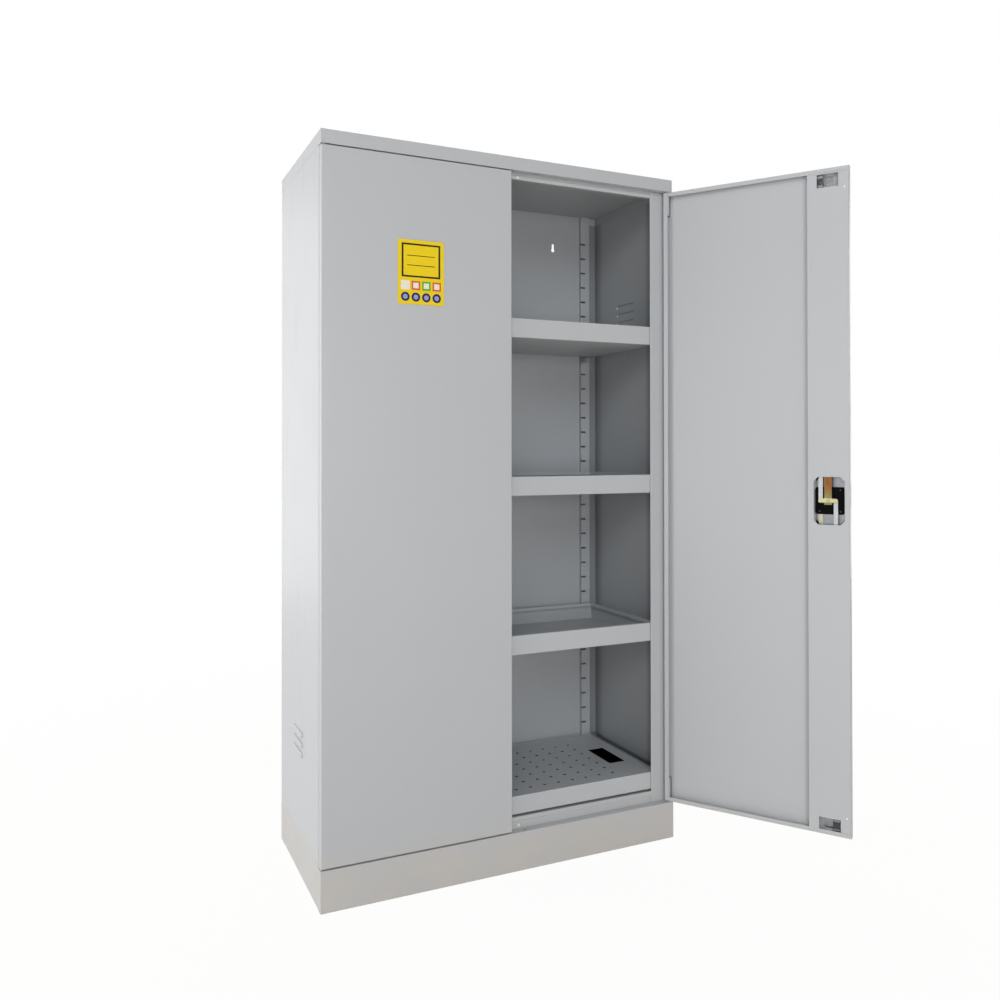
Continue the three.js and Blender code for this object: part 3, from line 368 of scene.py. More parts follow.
class Shaping:
    """Edit mode on one object, with parts of its mesh selected by their place or normal."""

    def __init__(self, obj):
        self.obj = obj

    def __enter__(self):
        only(self.obj)
        bpy.ops.object.mode_set(mode="EDIT")
        return self

    def __exit__(self, *_):
        bpy.ops.object.mode_set(mode="OBJECT")

    def _pick(self, kind, test):
        bpy.ops.mesh.select_mode(type=kind)
        bpy.ops.mesh.select_all(action="DESELECT")
        mesh = bmesh.from_edit_mesh(self.obj.data)
        parts = {"VERT": mesh.verts, "EDGE": mesh.edges, "FACE": mesh.faces}[kind]
        chosen = [part for part in parts if test(part)]
        if not chosen:
            raise RuntimeError(f"{self.obj.name}: nothing passes the selection")
        for part in chosen:
            part.select_set(True)
        bmesh.update_edit_mesh(self.obj.data)
        return self

    def all(self):
        bpy.ops.mesh.select_all(action="SELECT")
        return self

    def verts(self, test):
        return self._pick("VERT", lambda vert: test(vert.co))

    def edges(self, test):
        return self._pick("EDGE", lambda edge: test(edge.verts[0].co, edge.verts[1].co))

    def faces(self, test):
        return self._pick("FACE", lambda face: test(face.calc_center_median(), face.normal))

    def extrude(self, x=0.0, y=0.0, z=0.0):
        bpy.ops.mesh.extrude_region_move(TRANSFORM_OT_translate={"value": (x, y, z)})
        return self

    def move(self, x=0.0, y=0.0, z=0.0):
        bpy.ops.transform.translate(value=(x, y, z))
        return self

    def scale(self, x=1.0, y=1.0, z=1.0, about=(0, 0, 0)):
        bpy.ops.transform.resize(value=(x, y, z), center_override=about)
        return self

    def inset(self, thickness):
        bpy.ops.mesh.inset(thickness=thickness)
        return self

    def bevel(self, width, segments=4):
        bpy.ops.mesh.bevel(
            offset=width, segments=segments, affect="EDGES", clamp_overlap=True
        )
        return self

    def split_at(self, axis, value):
        """Adds an edge line where a plane across the axis meets the mesh."""
        point, normal = [0, 0, 0], [0, 0, 0]
        point[axis], normal[axis] = value, 1
        self.all()
        bpy.ops.mesh.bisect(plane_co=point, plane_no=normal)
        return self

    def remove(self):
        bpy.ops.mesh.delete(type="FACE")
        return self


def same(a, b):
    return abs(a - b) < 1e-5


def facing(axis, sign):
    """Faces whose normal points along an axis."""
    return lambda centre, normal: normal[axis] * sign > 0.99


def along(axis, **fixed):
    """Edges along an axis, with any other coordinate held by its letter."""
    held = {"xyz".index(letter): value for letter, value in fixed.items()}

    def test(a, b):
        parallel = all(same(a[i], b[i]) for i in range(3) if i != axis)
        return (
            parallel
            and not same(a[axis], b[axis])
            and all(same(a[i], value) for i, value in held.items())
        )

    return test


def rim(axis, level):
    """Edges that lie at one level across an axis."""
    return lambda a, b: same(a[axis], level) and same(b[axis], level)


def border(axis, low, high, level):
    """The outermost edges at one level of a piece between two corners."""
    sides = [rim(side, corner[side]) for corner in (low, high) for side in {X, Y, Z} - {axis}]
    return lambda a, b: rim(axis, level)(a, b) and any(side(a, b) for side in sides)


def side_folds(high):
    """The two edges that run from front to back along the top of a piece's sides."""
    return lambda a, b: (
        along(Y, z=high.z)(a, b) and same(abs(a.x), high.x) and abs(a.y - b.y) > 0.01
    )


def modify(obj, kind, **settings):
    """Adds one modifier, sets it and applies it."""
    only(obj)
    modifier = obj.modifiers.new(kind, kind)
    for key, value in settings.items():
        setattr(modifier, key, value)
    bpy.ops.object.modifier_apply(modifier=modifier.name)
    return obj


def thicken(obj, thickness):
    """Gives a sheet its thickness, behind its outer face."""
    return modify(obj, "SOLIDIFY", thickness=thickness, offset=-1, use_even_offset=True)


def round_edges(obj, width, segments=2, angle=40):
    """Rounds every edge that is sharper than an angle."""
    return modify(
        obj,
        "BEVEL",
        width=width,
        segments=segments,
        limit_method="ANGLE",
        angle_limit=math.radians(angle),
    )


def join(obj, *others):
    """Makes several meshes one object, each still its own closed body."""
    if not others:
        return obj
    only(obj)
    for other in others:
        other.select_set(True)
    bpy.ops.object.join()
    return obj


def combine(obj, others, operation):
    """Joins solids to a solid or cuts them from it."""
    tool = join(*others)
    modify(obj, "BOOLEAN", operation=operation, object=tool, solver="MANIFOLD")
    bpy.data.meshes.remove(tool.data)
    return obj


def cut(obj, *others):
    return combine(obj, others, "DIFFERENCE")


def fuse(obj, *others):
    return combine(obj, others, "UNION")


def flipped(obj):
    """Turns every face of a mesh to its other side."""
    with Shaping(obj) as shape:
        shape.all()
        bpy.ops.mesh.flip_normals()
    return obj


def outward(obj):
    """Turns a closed mesh's faces outwards if they point inwards."""
    mesh = bmesh.new()
    mesh.from_mesh(obj.data)
    inside_out = mesh.calc_volume(signed=True) < 0
    mesh.free()
    return flipped(obj) if inside_out else obj


def mirrored(obj):
    """Turns a piece of the right side into its mirror image on the left side."""
    return outward(turned(obj, Matrix.Scale(-1, 4, (1, 0, 0))))


def copied(obj, name):
    """A copy with a mesh of its own."""
    only(obj)
    bpy.ops.object.duplicate(linked=False)
    return settle(bpy.context.object, name)


def repeated(obj, count, step):
    """A straight row of a cutter."""
    return modify(
        obj,
        "ARRAY",
        count=count,
        use_relative_offset=False,
        use_constant_offset=True,
        constant_offset_displace=step,
    )


def rounded_block(name, low, high, axis, width, segments):
    """A block whose edges along one axis are rounded, or cut off by one segment."""
    block = cube(name, low, high)
    with Shaping(block) as shape:
        shape.edges(along(axis)).bevel(width, segments)
    return block


def stud(name, centre, radius, ends, head, width, segments, sides):
    """A round bar along Y with a rounded rim at its head, which is one of its ends."""
    bar = cylinder(name, Y, centre, radius, ends, sides)
    with Shaping(bar) as shape:
        shape.edges(rim(Y, head)).bevel(width, segments)
    return bar


def bent_sheet(name, path, ends, axis=Z, thickness=None, bend=None):
    """A sheet folded along a path of its outer face and run between two ends of an axis.

    The path's two numbers are X, Y along Z, and Y, Z along X, and the sheet lies to the left
    of its direction. The first flange is a plane, and each next one is extruded from its edge.
    """
    sheet = context_sizes("sheet")
    thickness = thickness or sheet.thickness
    bend = sheet.bend if bend is None else bend
    (u0, v0), (u1, v1) = path[0], path[1]
    heading = math.atan2(v1 - v0, u1 - u0)
    bpy.ops.object.select_all(action="DESELECT")
    bpy.ops.mesh.primitive_plane_add(
        size=1,
        location=((u0 + u1) / 2, (v0 + v1) / 2, sum(ends) / 2),
        rotation=(math.pi / 2, 0, heading),
    )
    strip = bpy.context.object
    strip.scale = (math.hypot(u1 - u0, v1 - v0), ends[1] - ends[0], 1)
    settle(strip, name)
    with Shaping(strip) as shape:
        for (u, v), (next_u, next_v) in zip(path[1:], path[2:]):
            shape.edges(along(Z, x=u, y=v))
            shape.extrude(next_u - u, next_v - v)
        for inner in range(1, len(path) - 1):
            before = Vector(path[inner]) - Vector(path[inner - 1])
            after = Vector(path[inner + 1]) - Vector(path[inner])
            flange = min(before.length, after.length)
            u, v = path[inner]
            shape.edges(along(Z, x=u, y=v)).bevel(min(bend, flange * 0.45))
    start = Vector(path[0])
    first = min(strip.data.polygons, key=lambda face: (face.center.xy - start).length)
    if first.normal.dot(Vector((v1 - v0, u0 - u1, 0))) < 0:
        flipped(strip)
    thicken(strip, thickness)
    round_edges(strip, sheet.edge)
    if axis == X:
        turned(strip, Matrix(((0, 0, 1, 0), (1, 0, 0, 0), (0, 1, 0, 0), (0, 0, 0, 1))))
    return outward(strip)


def folded_box(name, low, high, openings, folds=(), shape_lips=None):
    """A box folded from one sheet: some faces left open, its outer edges bent."""
    sheet = context_sizes("sheet")
    box = cube(name, low, high)
    with Shaping(box) as shape:
        for axis, sign in openings:
            shape.faces(facing(axis, sign)).remove()
        if shape_lips:
            shape_lips(shape)
        for fold in folds:
            shape.edges(fold).bevel(sheet.bend)
    thicken(box, sheet.thickness)
    round_edges(box, sheet.edge)
    return outward(box)


def smooth(obj):
    """Smooth shading that keeps flat sheets flat."""
    only(obj)
    bpy.ops.object.shade_smooth_by_angle(angle=math.radians(35))
    return modify(obj, "WEIGHTED_NORMAL", keep_sharp=True)


def place(obj, body, slot, nodes=(), finish=None):
    """Finishes a piece: shading, material, the body it rides on and the nodes it stands for."""
    smooth(obj)
    obj.data.materials.clear()
    obj.data.materials.append(FINISHES[finish or slot])
    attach(obj, body)
    if nodes:
        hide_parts(*nodes)
    return obj


def stand_for(obj, node, finish=None):
    """Places a piece that takes over one CAD node."""
    return place(obj, BODIES[node], SLOTS[node], [node], finish)


# Finishes


class Value:
    """One number in a material; arithmetic on it adds Math nodes."""

    def __init__(self, finish, socket):
        self.finish = finish
        self.socket = socket

    def _math(self, operation, *terms, clamp=False):
        settings = {"operation": operation, "use_clamp": clamp}
        node = self.finish.add("ShaderNodeMath", settings, *terms)
        return Value(self.finish, node.outputs[0])

    def __add__(self, other):
        return self._math("ADD", self, other)

    def __radd__(self, other):
        return self._math("ADD", other, self)

    def __sub__(self, other):
        return self._math("SUBTRACT", self, other)

    def __rsub__(self, other):
        return self._math("SUBTRACT", other, self)

    def __mul__(self, other):
        return self._math("MULTIPLY", self, other)

    def __truediv__(self, other):
        return self._math("DIVIDE", self, other)

    def __gt__(self, other):
        return self._math("GREATER_THAN", self, other)

    def __lt__(self, other):
        return self._math("LESS_THAN", self, other)

    def __abs__(self):
        return self._math("ABSOLUTE", self)

    def clamped(self):
        return self._math("ADD", self, 0.0, clamp=True)

    def between(self, low, high):
        """1 inside a band, 0 outside it."""
        return (self > low) * (self < high)

    def ramp(self, low, high):
        """0 at low, 1 at high, straight between."""
        return ((self - low) / (high - low)).clamped()


def fill(socket, value):
    """Links a value or another node's socket to a socket, or sets a constant there."""
    source = value.socket if isinstance(value, Value) else value
    if isinstance(source, bpy.types.NodeSocket):
        socket.id_data.links.new(source, socket)
    elif socket.type == "RGBA":
        socket.default_value = (*source, 1)
    else:
        socket.default_value = source


def add_node(tree, kind, settings=None, *values, **named):
    """Adds a node: its settings first, then the values or links of its sockets."""
    node = tree.nodes.new(kind)
    for key, value in (settings or {}).items():
        setattr(node, key, value)
    for socket, value in zip(node.inputs, values):
        fill(socket, value)
    for key, value in named.items():
        fill(node.inputs[key.replace("_", " ")], value)
    return node


class Finish:
    """A node material on object coordinates, built from one Principled shader."""

    def __init__(self, slot, **constants):
        self.material = bpy.data.materials.new(f"cabinet_{slot}")
        FINISHES[slot] = self.material
        self.material.use_nodes = True
        self.tree = self.material.node_tree
        self.shader = self.tree.nodes["Principled BSDF"]
        for socket, value in constants.items():
            self.shader.inputs[socket.replace("_", " ")].default_value = value
        self.coordinates = self.add("ShaderNodeTexCoord").outputs["Object"]
        parts = self.add("ShaderNodeSeparateXYZ", {}, self.coordinates).outputs
        self.x, self.y, self.z = (Value(self, part) for part in parts)

    def add(self, kind, settings=None, *values, **named):
        return add_node(self.tree, kind, settings, *values, **named)

    def noise(self, scale, detail=2.0, stretch=None, distortion=0.0):
        """Cloudy values from 0 to 1, finer with a larger scale, drawn out by a stretch."""
        vector = self.coordinates
        if stretch:
            mapping = self.add("ShaderNodeMapping", {}, vector, Scale=stretch)
            vector = mapping.outputs[0]
        node = self.add(
            "ShaderNodeTexNoise",
            {},
            Vector=vector,
            Scale=scale,
            Detail=detail,
            Distortion=distortion,
        )
        return Value(self, node.outputs["Fac"])

    def cells(self, scale):
        """A different value in each cell, like the spangle of plated steel."""
        node = self.add("ShaderNodeTexVoronoi", {}, Vector=self.coordinates, Scale=scale)
        part = self.add("ShaderNodeSeparateXYZ", {}, node.outputs["Color"])
        return Value(self, part.outputs[0])

    def mix(self, mask, first, second):
        """Goes from the first colour to the second where the mask is 1."""
        node = self.add("ShaderNodeMix", {"data_type": "RGBA", "clamp_factor": True}, mask)
        fill(node.inputs[6], first)
        fill(node.inputs[7], second)
        return node.outputs[2]

    def feed(self, socket, value):
        """Links a value or a colour to a socket of the shader."""
        fill(self.shader.inputs[socket], value)

    def relief(self, height, distance, strength):
        """Raises the surface by a value, over a distance in metres."""
        node = self.add("ShaderNodeBump", {}, Strength=strength, Distance=distance, Height=height)
        self.feed("Normal", node.outputs[0])


def shade(colour, factor):
    return tuple(min(1.0, channel * factor) for channel in colour)


def corner_shade_mask(finish):
    """Mask of painted shade: 1 in the corners behind the posts, beside the jambs and below the perforated floor,
    where shade falls.
    """
    post_low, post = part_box("post_rear_right")
    cap_low, cap_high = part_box("top_cap")
    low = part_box("side_panel_right")[0]
    sheet = context_sizes("sheet").thickness
    floor_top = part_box("perforated_floor")[1].z
    walls = abs(finish.x).between(post.x, cap_high.x - sheet / 2)
    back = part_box("back_panel")[0].y + sheet / 2
    deep = finish.y.between(low.y + sheet * 2, back)
    tall = finish.z.between(low.z + sheet * 2, cap_low.z - sheet * 2)
    rear = finish.y.ramp(post.y - 0.05, post.y - 0.006) * 0.6
    front = 1 - finish.y.ramp(low.y + 0.085, low.y + 0.125)
    below = 1 - finish.z.ramp(floor_top - 0.014, floor_top - 0.002)
    hidden = abs(finish.x).between(post_low.x + sheet, post.x - sheet)
    behind = hidden * (finish.y > post_low.y + sheet)
    return (deep * tall * (walls * (rear + front + below).clamped() + behind)).clamped()


def paint_finish(colour, name="paint", lining=None):
    """Powder coat: orange peel, a slight change of tone, faint scuffs, a warmer, darker and rougher band low down,
    and painted shade in the inner corners.

    With a sump shade colour, the inside of the sump tray and the underside of the floor over it take that colour,
    as painted shade.
    """
    finish = Finish(name, IOR=1.5)
    peel = finish.noise(420, 2.0)
    fine = finish.noise(1500, 1.0)
    cloud = finish.noise(2.2, 3.0)
    rubs = finish.noise(30, 4.0, stretch=(1.0, 1.0, 0.12))
    speck = finish.noise(900, 0.0)
    tone = finish.mix(cloud, shade(colour, 0.975), shade(colour, 1.02))
    # Warmer, darker and rougher towards the bottom, in patches.
    patches = finish.noise(14, 4.0).ramp(0.35, 0.75)
    low_tint = (1 - finish.z.ramp(0.06, 0.16)) * (0.16 + patches * 0.24)
    low_tinted = finish.mix(low_tint, tone, (0.58, 0.50, 0.40))
    # Painted shade: the inner corners behind the posts, beside the jambs and below the floor darken towards a
    # fifth of the paint's colour.
    corner_shaded = finish.mix(corner_shade_mask(finish) * 0.8, low_tinted, shade(colour, 0.2))
    specked = finish.mix(speck.ramp(0.76, 0.8) * 0.12, corner_shaded, shade(colour, 0.6))
    # Painted shade: the sump tray's inside and the floor's underside above it take the near black colour.
    if lining:
        low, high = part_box("sump_tray")
        wall = context_sizes("sheet").thickness / 2
        across = finish.x.between(low.x + wall, high.x - wall)
        along_depth = finish.y.between(low.y + wall, high.y - wall)
        under = finish.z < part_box("perforated_floor")[1].z - wall
        specked = finish.mix(across * along_depth * under, specked, lining)
    finish.feed("Base Color", specked)
    finish.feed("Roughness", 0.36 + cloud * 0.06 + rubs.ramp(0.55, 0.8) * 0.10 + low_tint * 0.5)
    finish.relief(peel * 0.8 + fine * 0.2, 0.00022, 0.35)


def zinc_finish(name, colour):
    """Zinc plate: spangle, drawn streaks and fine pits."""
    finish = Finish(name, Metallic=1.0, IOR=1.5)
    spangle = finish.cells(260)
    streaks = finish.noise(500, 2.0, stretch=(1.0, 1.0, 0.05))
    bloom = finish.noise(60, 3.0)
    tone = finish.mix(spangle * 0.5 + bloom * 0.5, shade(colour, 0.82), shade(colour, 1.12))
    finish.feed("Base Color", finish.mix(bloom.ramp(0.6, 0.8) * 0.3, tone, (0.55, 0.54, 0.48)))
    finish.feed("Roughness", 0.24 + streaks * 0.14 + bloom * 0.08)
    finish.relief(streaks + spangle * 0.3, 0.00008, 0.4)


def chromate_finish(colour):
    """Yellow passivation: tints of green and copper that wander over the metal."""
    finish = Finish("brass", Metallic=0.9, IOR=1.5)
    wander = finish.noise(45, 2.0, distortion=0.6)
    axis = spindle_axis().z
    heated = (finish.z + wander * 0.04 - 0.02).ramp(axis + 0.010, axis + 0.040)
    streak = finish.noise(160, 2.0, stretch=(1.0, 1.0, 0.25))
    warm = finish.mix(heated * 0.9, colour, (0.25, 0.062, 0.018))
    green = finish.mix(streak.ramp(0.46, 0.62) * 0.65, warm, (0.13, 0.17, 0.045))
    arm = (finish.z + streak * 0.004 - 0.002).between(axis - 0.0045, axis + 0.0075)
    finish.feed("Base Color", finish.mix(arm * 0.75, green, (0.62, 0.56, 0.36)))
    finish.feed("Roughness", 0.26 + wander * 0.2)
    finish.relief(finish.noise(700, 2.0), 0.00006, 0.4)


def plastic_finish(colour):
    """Black moulding: spark-eroded grain, rubbed smoother in places."""
    finish = Finish("black_plastic", IOR=1.46, Specular_IOR_Level=0.03)
    grain = finish.noise(1300, 1.0)
    rubbed = finish.noise(40, 2.0)
    finish.feed("Base Color", finish.mix(rubbed, colour, shade(colour, 1.9)))
    finish.feed("Roughness", 0.42 + rubbed * 0.18 + grain * 0.08)
    finish.relief(grain, 0.00012, 0.5)


def nylon_finish(colour):
    """White nylon: waxy, slightly yellowed."""
    finish = Finish("white_nylon", IOR=1.53, Subsurface_Weight=0.05)
    cloud = finish.noise(120, 2.0)
    finish.feed("Base Color", finish.mix(cloud, colour, shade(colour, 0.92)))
    finish.feed("Roughness", 0.35 + cloud * 0.2)
    finish.relief(finish.noise(1100, 1.0), 0.00005, 0.4)


def steel_finish(colour):
    """Plain steel: turning marks and a film of oil."""
    finish = Finish("steel", Metallic=1.0, IOR=1.5)
    marks = finish.noise(900, 1.0, stretch=(0.1, 0.1, 1.0))
    film = finish.noise(70, 3.0)
    finish.feed("Base Color", finish.mix(film, shade(colour, 0.8), shade(colour, 1.1)))
    finish.feed("Roughness", 0.3 + marks * 0.12 + film * 0.1)
    finish.relief(marks, 0.00006, 0.4)


def plate_finish(ground):
    """A printed plate without words: a framed field with two lines, over squares and dots."""
    finish = Finish("sign", IOR=1.45, Specular_IOR_Level=0.2)
    low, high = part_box("sign_plate")
    width, height = high.x - low.x, high.z - low.z
    u = (finish.x - low.x) / width
    v = (finish.z - low.z) / height
    ink, white, red = (0.012, 0.010, 0.006), (0.80, 0.76, 0.66), (0.62, 0.12, 0.05)
    green, blue, pale_blue = (0.10, 0.40, 0.04), (0.012, 0.012, 0.10), (0.30, 0.32, 0.62)

    def box_mask(u0, u1, v0, v1):
        return u.between(u0, u1) * v.between(v0, v1)

    fade = finish.noise(18, 3.0)
    colour = finish.mix(fade, shade(ground, 0.97), shade(ground, 1.02))
    frame_mask = box_mask(0.08, 0.92, 0.42, 0.945)
    field_mask = box_mask(0.12, 0.88, 0.448, 0.917)
    colour = finish.mix(frame_mask - field_mask, colour, ink)
    for v0 in (0.60, 0.75):
        colour = finish.mix(box_mask(0.2, 0.8, v0, v0 + 0.012), colour, ink)
    cells = [(0.065 + i * 0.2275, 0.065 + i * 0.2275 + 0.1875) for i in range(4)]
    for (u0, u1), tint in zip(cells, (white, red, green, red)):
        colour = finish.mix(box_mask(u0, u1, 0.225, 0.365), colour, tint)
        colour = finish.mix(box_mask(u0 + 0.035, u1 - 0.035, 0.252, 0.338), colour, white)
    ratio = height / width
    for u0, u1 in cells:
        across, up = u - (u0 + u1) / 2, (v - 0.115) * ratio
        reach = across * across + up * up
        colour = finish.mix(reach < 0.0088, colour, blue)
        colour = finish.mix(reach < 0.0026, colour, pale_blue)
    finish.feed("Base Color", colour)
    finish.feed("Roughness", 0.3 + fade * 0.12)
    finish.relief(finish.noise(800, 1.0), 0.00004, 0.3)


class Undoable:
    """What all operators share."""

    bl_options = {"REGISTER", "UNDO"}


class CABINET_OT_finishes(Undoable, bpy.types.Operator):
    """Makes the node materials and gives them to the carried-over nodes."""

    bl_idname = "cabinet.finishes"
    bl_label = "Finishes"

    def execute(self, context):
        chosen = context.scene.cabinet_finishes
        colours = {name: tuple(getattr(chosen, name)) for name in Finishes.__annotations__}
        paint_finish(colours["paint"])
        paint_finish(colours["paint"], "lined_paint", colours["lining"])
        zinc_finish("zinc", colours["zinc"])
        # Darker zinc copies for the plate, guides, bushes and screws in the door's windows: partly their own dull
        # colour, partly painted shade.
        zinc_finish("dull_zinc", colours["dull_zinc"])
        zinc_finish("black_zinc", shade(colours["dull_zinc"], 0.25))
        zinc_finish("warm_zinc", colours["tab"])
        chromate_finish(colours["chromate"])
        plastic_finish(colours["plastic"])
        nylon_finish(colours["nylon"])
        steel_finish(colours["steel"])
        plate_finish(colours["sign"])
        for name, node in frame["nodes"].items():
            if not node.material_slots:
                raise RuntimeError(f"{name} has no material slot")
            for slot in node.material_slots:
                slot.material = FINISHES[SLOTS[name]]
        return {"FINISHED"}


# Carcass


def louvre(name, wall, middle, height, grow=0.0):
    """A pressed hood, open below: half of a rounded bar that stands out of the wall."""
    carcass = context_sizes("carcass")
    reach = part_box("side_panel_right")[1].x - wall
    half = carcass.louvre_length / 2 - grow
    drop = carcass.louvre_drop
    bar = rounded_block(
        name,
        (wall - reach + grow, middle - half, height - drop * 1.5 + grow),
        (wall + reach - grow, middle + half, height + drop / 2 - grow),
        Y,
        (reach - grow) * 0.96,
        6,
    )
    with Shaping(bar) as shape:
        shape.edges(lambda a, b: same(a.y, b.y)).bevel((reach - grow) * 0.7, 4)
    return bar


def passages(level, rod):
    """Cutters for the pivot pins and the lock rod through a level flange."""
    overrun = context_sizes("sheet").overrun
    ends = (level - overrun, level + overrun)
    radius = context_sizes("doors").pin_passage
    x, y, _ = JOINTS["door_right_hinge"]["pos_m"]
    holes = [cylinder("pin_hole", Z, (side, y), radius, ends) for side in (-x, x)]
    return [*holes, rod_slot(rod, ends)]


def rod_slot(rod, ends):
    """Cutter for one lock rod, upper or lower, with play all round."""
    low, high = closed_box(f"lock_rod_{rod}")
    play = context_sizes("doors").rod_play
    return cube(
        "rod_slot",
        (low.x - play, low.y - play, ends[0]),
        (high.x + play, high.y + play, ends[1]),
    )


class CABINET_OT_side_panels(Undoable, bpy.types.Operator):
    """Folds each side panel from its front frame to its rear return and presses its louvres."""

    bl_idname = "cabinet.side_panels"
    bl_label = "Side panels"

    def add_tongue(self, panel, inner, outer, level, top):
        """Adds the tongue that stands up inside the cap, on a joggle of the wall."""
        t = context_sizes("sheet").thickness
        carcass = context_sizes("carcass")
        front, back = carcass.tongue_front, carcass.tongue_back
        tongue = cube("tongue", (inner - t, front, level - t), (inner, back, top))
        with Shaping(tongue) as shape:
            shape.edges(along(X, z=top)).bevel(carcass.tongue_corner, 4)
        joggle = cube("joggle", (inner - t, front, level - t), (outer - t / 2, back, level))
        fuse(panel, fuse(tongue, joggle))

    def press_louvre(self, panel, outer, middle, height):
        """Adds one louvre's hood to the wall and opens it below."""
        t = context_sizes("sheet").thickness
        carcass = context_sizes("carcass")
        drop, past = carcass.louvre_drop, 0.02
        mouth = height - drop / 2

        def cutter(x, top):
            start = (outer - past, middle - carcass.louvre_length, height - drop * 2)
            return cube("cutter", start, (x, middle + carcass.louvre_length, top))

        hood = louvre("hood", outer, middle, height)
        cut(hood, cutter(outer + past, mouth))
        cut(hood, cutter(outer - t, height + drop * 2))
        fuse(panel, hood)
        hollow = louvre("hollow", outer, middle, height, grow=t * 0.8)
        cut(hollow, cutter(outer + past, mouth - 0.0002))
        cut(panel, hollow)

    def side(self, name, louvre_height):
        sheet, carcass = context_sizes("sheet"), context_sizes("carcass")
        t = sheet.thickness
        low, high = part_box("side_panel_right")
        cap_low, cap_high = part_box("top_cap")
        half = cap_high.x
        seam = low.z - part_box("plinth_front")[1].z
        heights = (low.z, cap_low.z - seam)
        web = low.y + t
        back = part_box("back_panel")[1].y + sheet.gap
        panel = bent_sheet(
            name,
            [
                (low.x, low.y),
                (low.x + carcass.band, low.y),
                (low.x + carcass.band + t, web),
                (half, web),
                (half, high.y),
                (half - carcass.rear_return, high.y),
                (half - carcass.rear_return, back),
            ],
            heights,
        )
        self.add_tongue(panel, half - t - sheet.gap, half, heights[1], high.z)
        middle = cap_low.y + carcass.louvre_setback
        for i in range(carcass.louvre_count):
            step = i - (carcass.louvre_count - 1) / 2
            height = louvre_height + step * carcass.louvre_pitch
            self.press_louvre(panel, half, middle, height)
        return outward(panel)

    def execute(self, context):
        carcass = context.scene.cabinet_carcass
        stand_for(self.side("side_right", carcass.louvre_high), "side_panel_right")
        stand_for(mirrored(self.side("side_left", carcass.louvre_low)), "side_panel_left")
        return {"FINISHED"}


class CABINET_OT_cap(Undoable, bpy.types.Operator):
    """Folds the top cap with its front return and the passages for pins and rods."""

    bl_idname = "cabinet.cap"
    bl_label = "Top cap"

    def execute(self, context):
        carcass = context.scene.cabinet_carcass
        low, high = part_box("top_cap")
        clear = context.scene.cabinet_sheet.bend * 1.2

        def return_line(a, b):
            """The front edge that the return is folded from, without its short ends."""
            return along(X, y=low.y, z=low.z)(a, b) and abs(a.x + b.x) < 0.1

        def add_return(shape):
            shape.split_at(X, low.x + clear).split_at(X, high.x - clear)
            shape.edges(return_line).extrude(y=carcass.cap_return)

        cap = folded_box(
            "cap",
            low,
            high,
            [(Z, -1)],
            folds=[
                along(X, y=low.y, z=high.z),
                along(X, y=high.y, z=high.z),
                side_folds(high),
                along(Z),
                return_line,
            ],
            shape_lips=add_return,
        )
        cut(cap, *passages(low.z, "upper"))
        stand_for(cap, "top_cap")
        return {"FINISHED"}


class CABINET_OT_inner_panels(Undoable, bpy.types.Operator):
    """Makes the back, ceiling and bottom panels."""

    bl_idname = "cabinet.inner_panels"
    bl_label = "Inner panels"

    def back(self, carcass, past):
        low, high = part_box("back_panel")
        panel = cube("back", low, high)
        round_edges(panel, 0.0003)
        ends = (low.y - past, high.y + past)
        neck = carcass.keyhole_neck
        z = carcass.keyhole_height
        top = z + carcass.keyhole_rise
        for x in (-carcass.keyhole_x, carcass.keyhole_x):
            slot = cube("slot", (x - neck, ends[0], z), (x + neck, ends[1], top))
            fuse(slot, cylinder("bore", Y, (x, z), carcass.keyhole_bore, ends))
            fuse(slot, cylinder("neck", Y, (x, top), neck, ends))
            cut(panel, slot)
        stand_for(panel, "back_panel")

    def ceiling(self, carcass, past):
        low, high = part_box("ceiling_panel")
        folds = [along(X, z=low.z), along(Y, z=low.z)]
        panel = folded_box("ceiling", low, high, [(Z, 1)], folds)
        centre = (carcass.ceiling_hole_x, carcass.ceiling_hole_y)
        ends = (low.z - past, high.z + past)
        cut(panel, cylinder("hole", Z, centre, carcass.ceiling_hole_radius, ends))
        stand_for(panel, "ceiling_panel")

    def bottom(self):
        low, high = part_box("bottom_panel")
        folds = [along(X, y=high.y, z=high.z), along(Y, z=high.z)]
        panel = folded_box("bottom", low, high, [(Z, -1), (Y, -1)], folds)
        stand_for(panel, "bottom_panel")

    def execute(self, context):
        past = context.scene.cabinet_sheet.overrun
        self.back(context.scene.cabinet_carcass, past)
        self.ceiling(context.scene.cabinet_carcass, past)
        self.bottom()
        return {"FINISHED"}


class CABINET_OT_rails(Undoable, bpy.types.Operator):
    """Folds the header and sill rails with their raised bands."""

    bl_idname = "cabinet.rails"
    bl_label = "Header and sill rails"

    def rail(self, name, path, ends):
        bend = context_sizes("sheet").rail_bend
        stand_for(bent_sheet(name, path, ends, axis=X, bend=bend), f"{name}_rail")

    def execute(self, context):
        t = context.scene.cabinet_sheet.thickness
        band = context.scene.cabinet_carcass.band
        low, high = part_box("header_rail")
        web = low.y + t
        band_top = low.z + band
        path = [(web, high.z), (web, band_top + t), (low.y, band_top), (low.y, low.z)]
        self.rail("header", [*path, (high.y, low.z)], (low.x, high.x))
        low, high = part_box("sill_rail")
        band_foot = high.z - band
        path = [(low.y, high.z), (low.y, band_foot), (web, band_foot - t), (web, low.z)]
        self.rail("sill", path, (low.x, high.x))
        return {"FINISHED"}


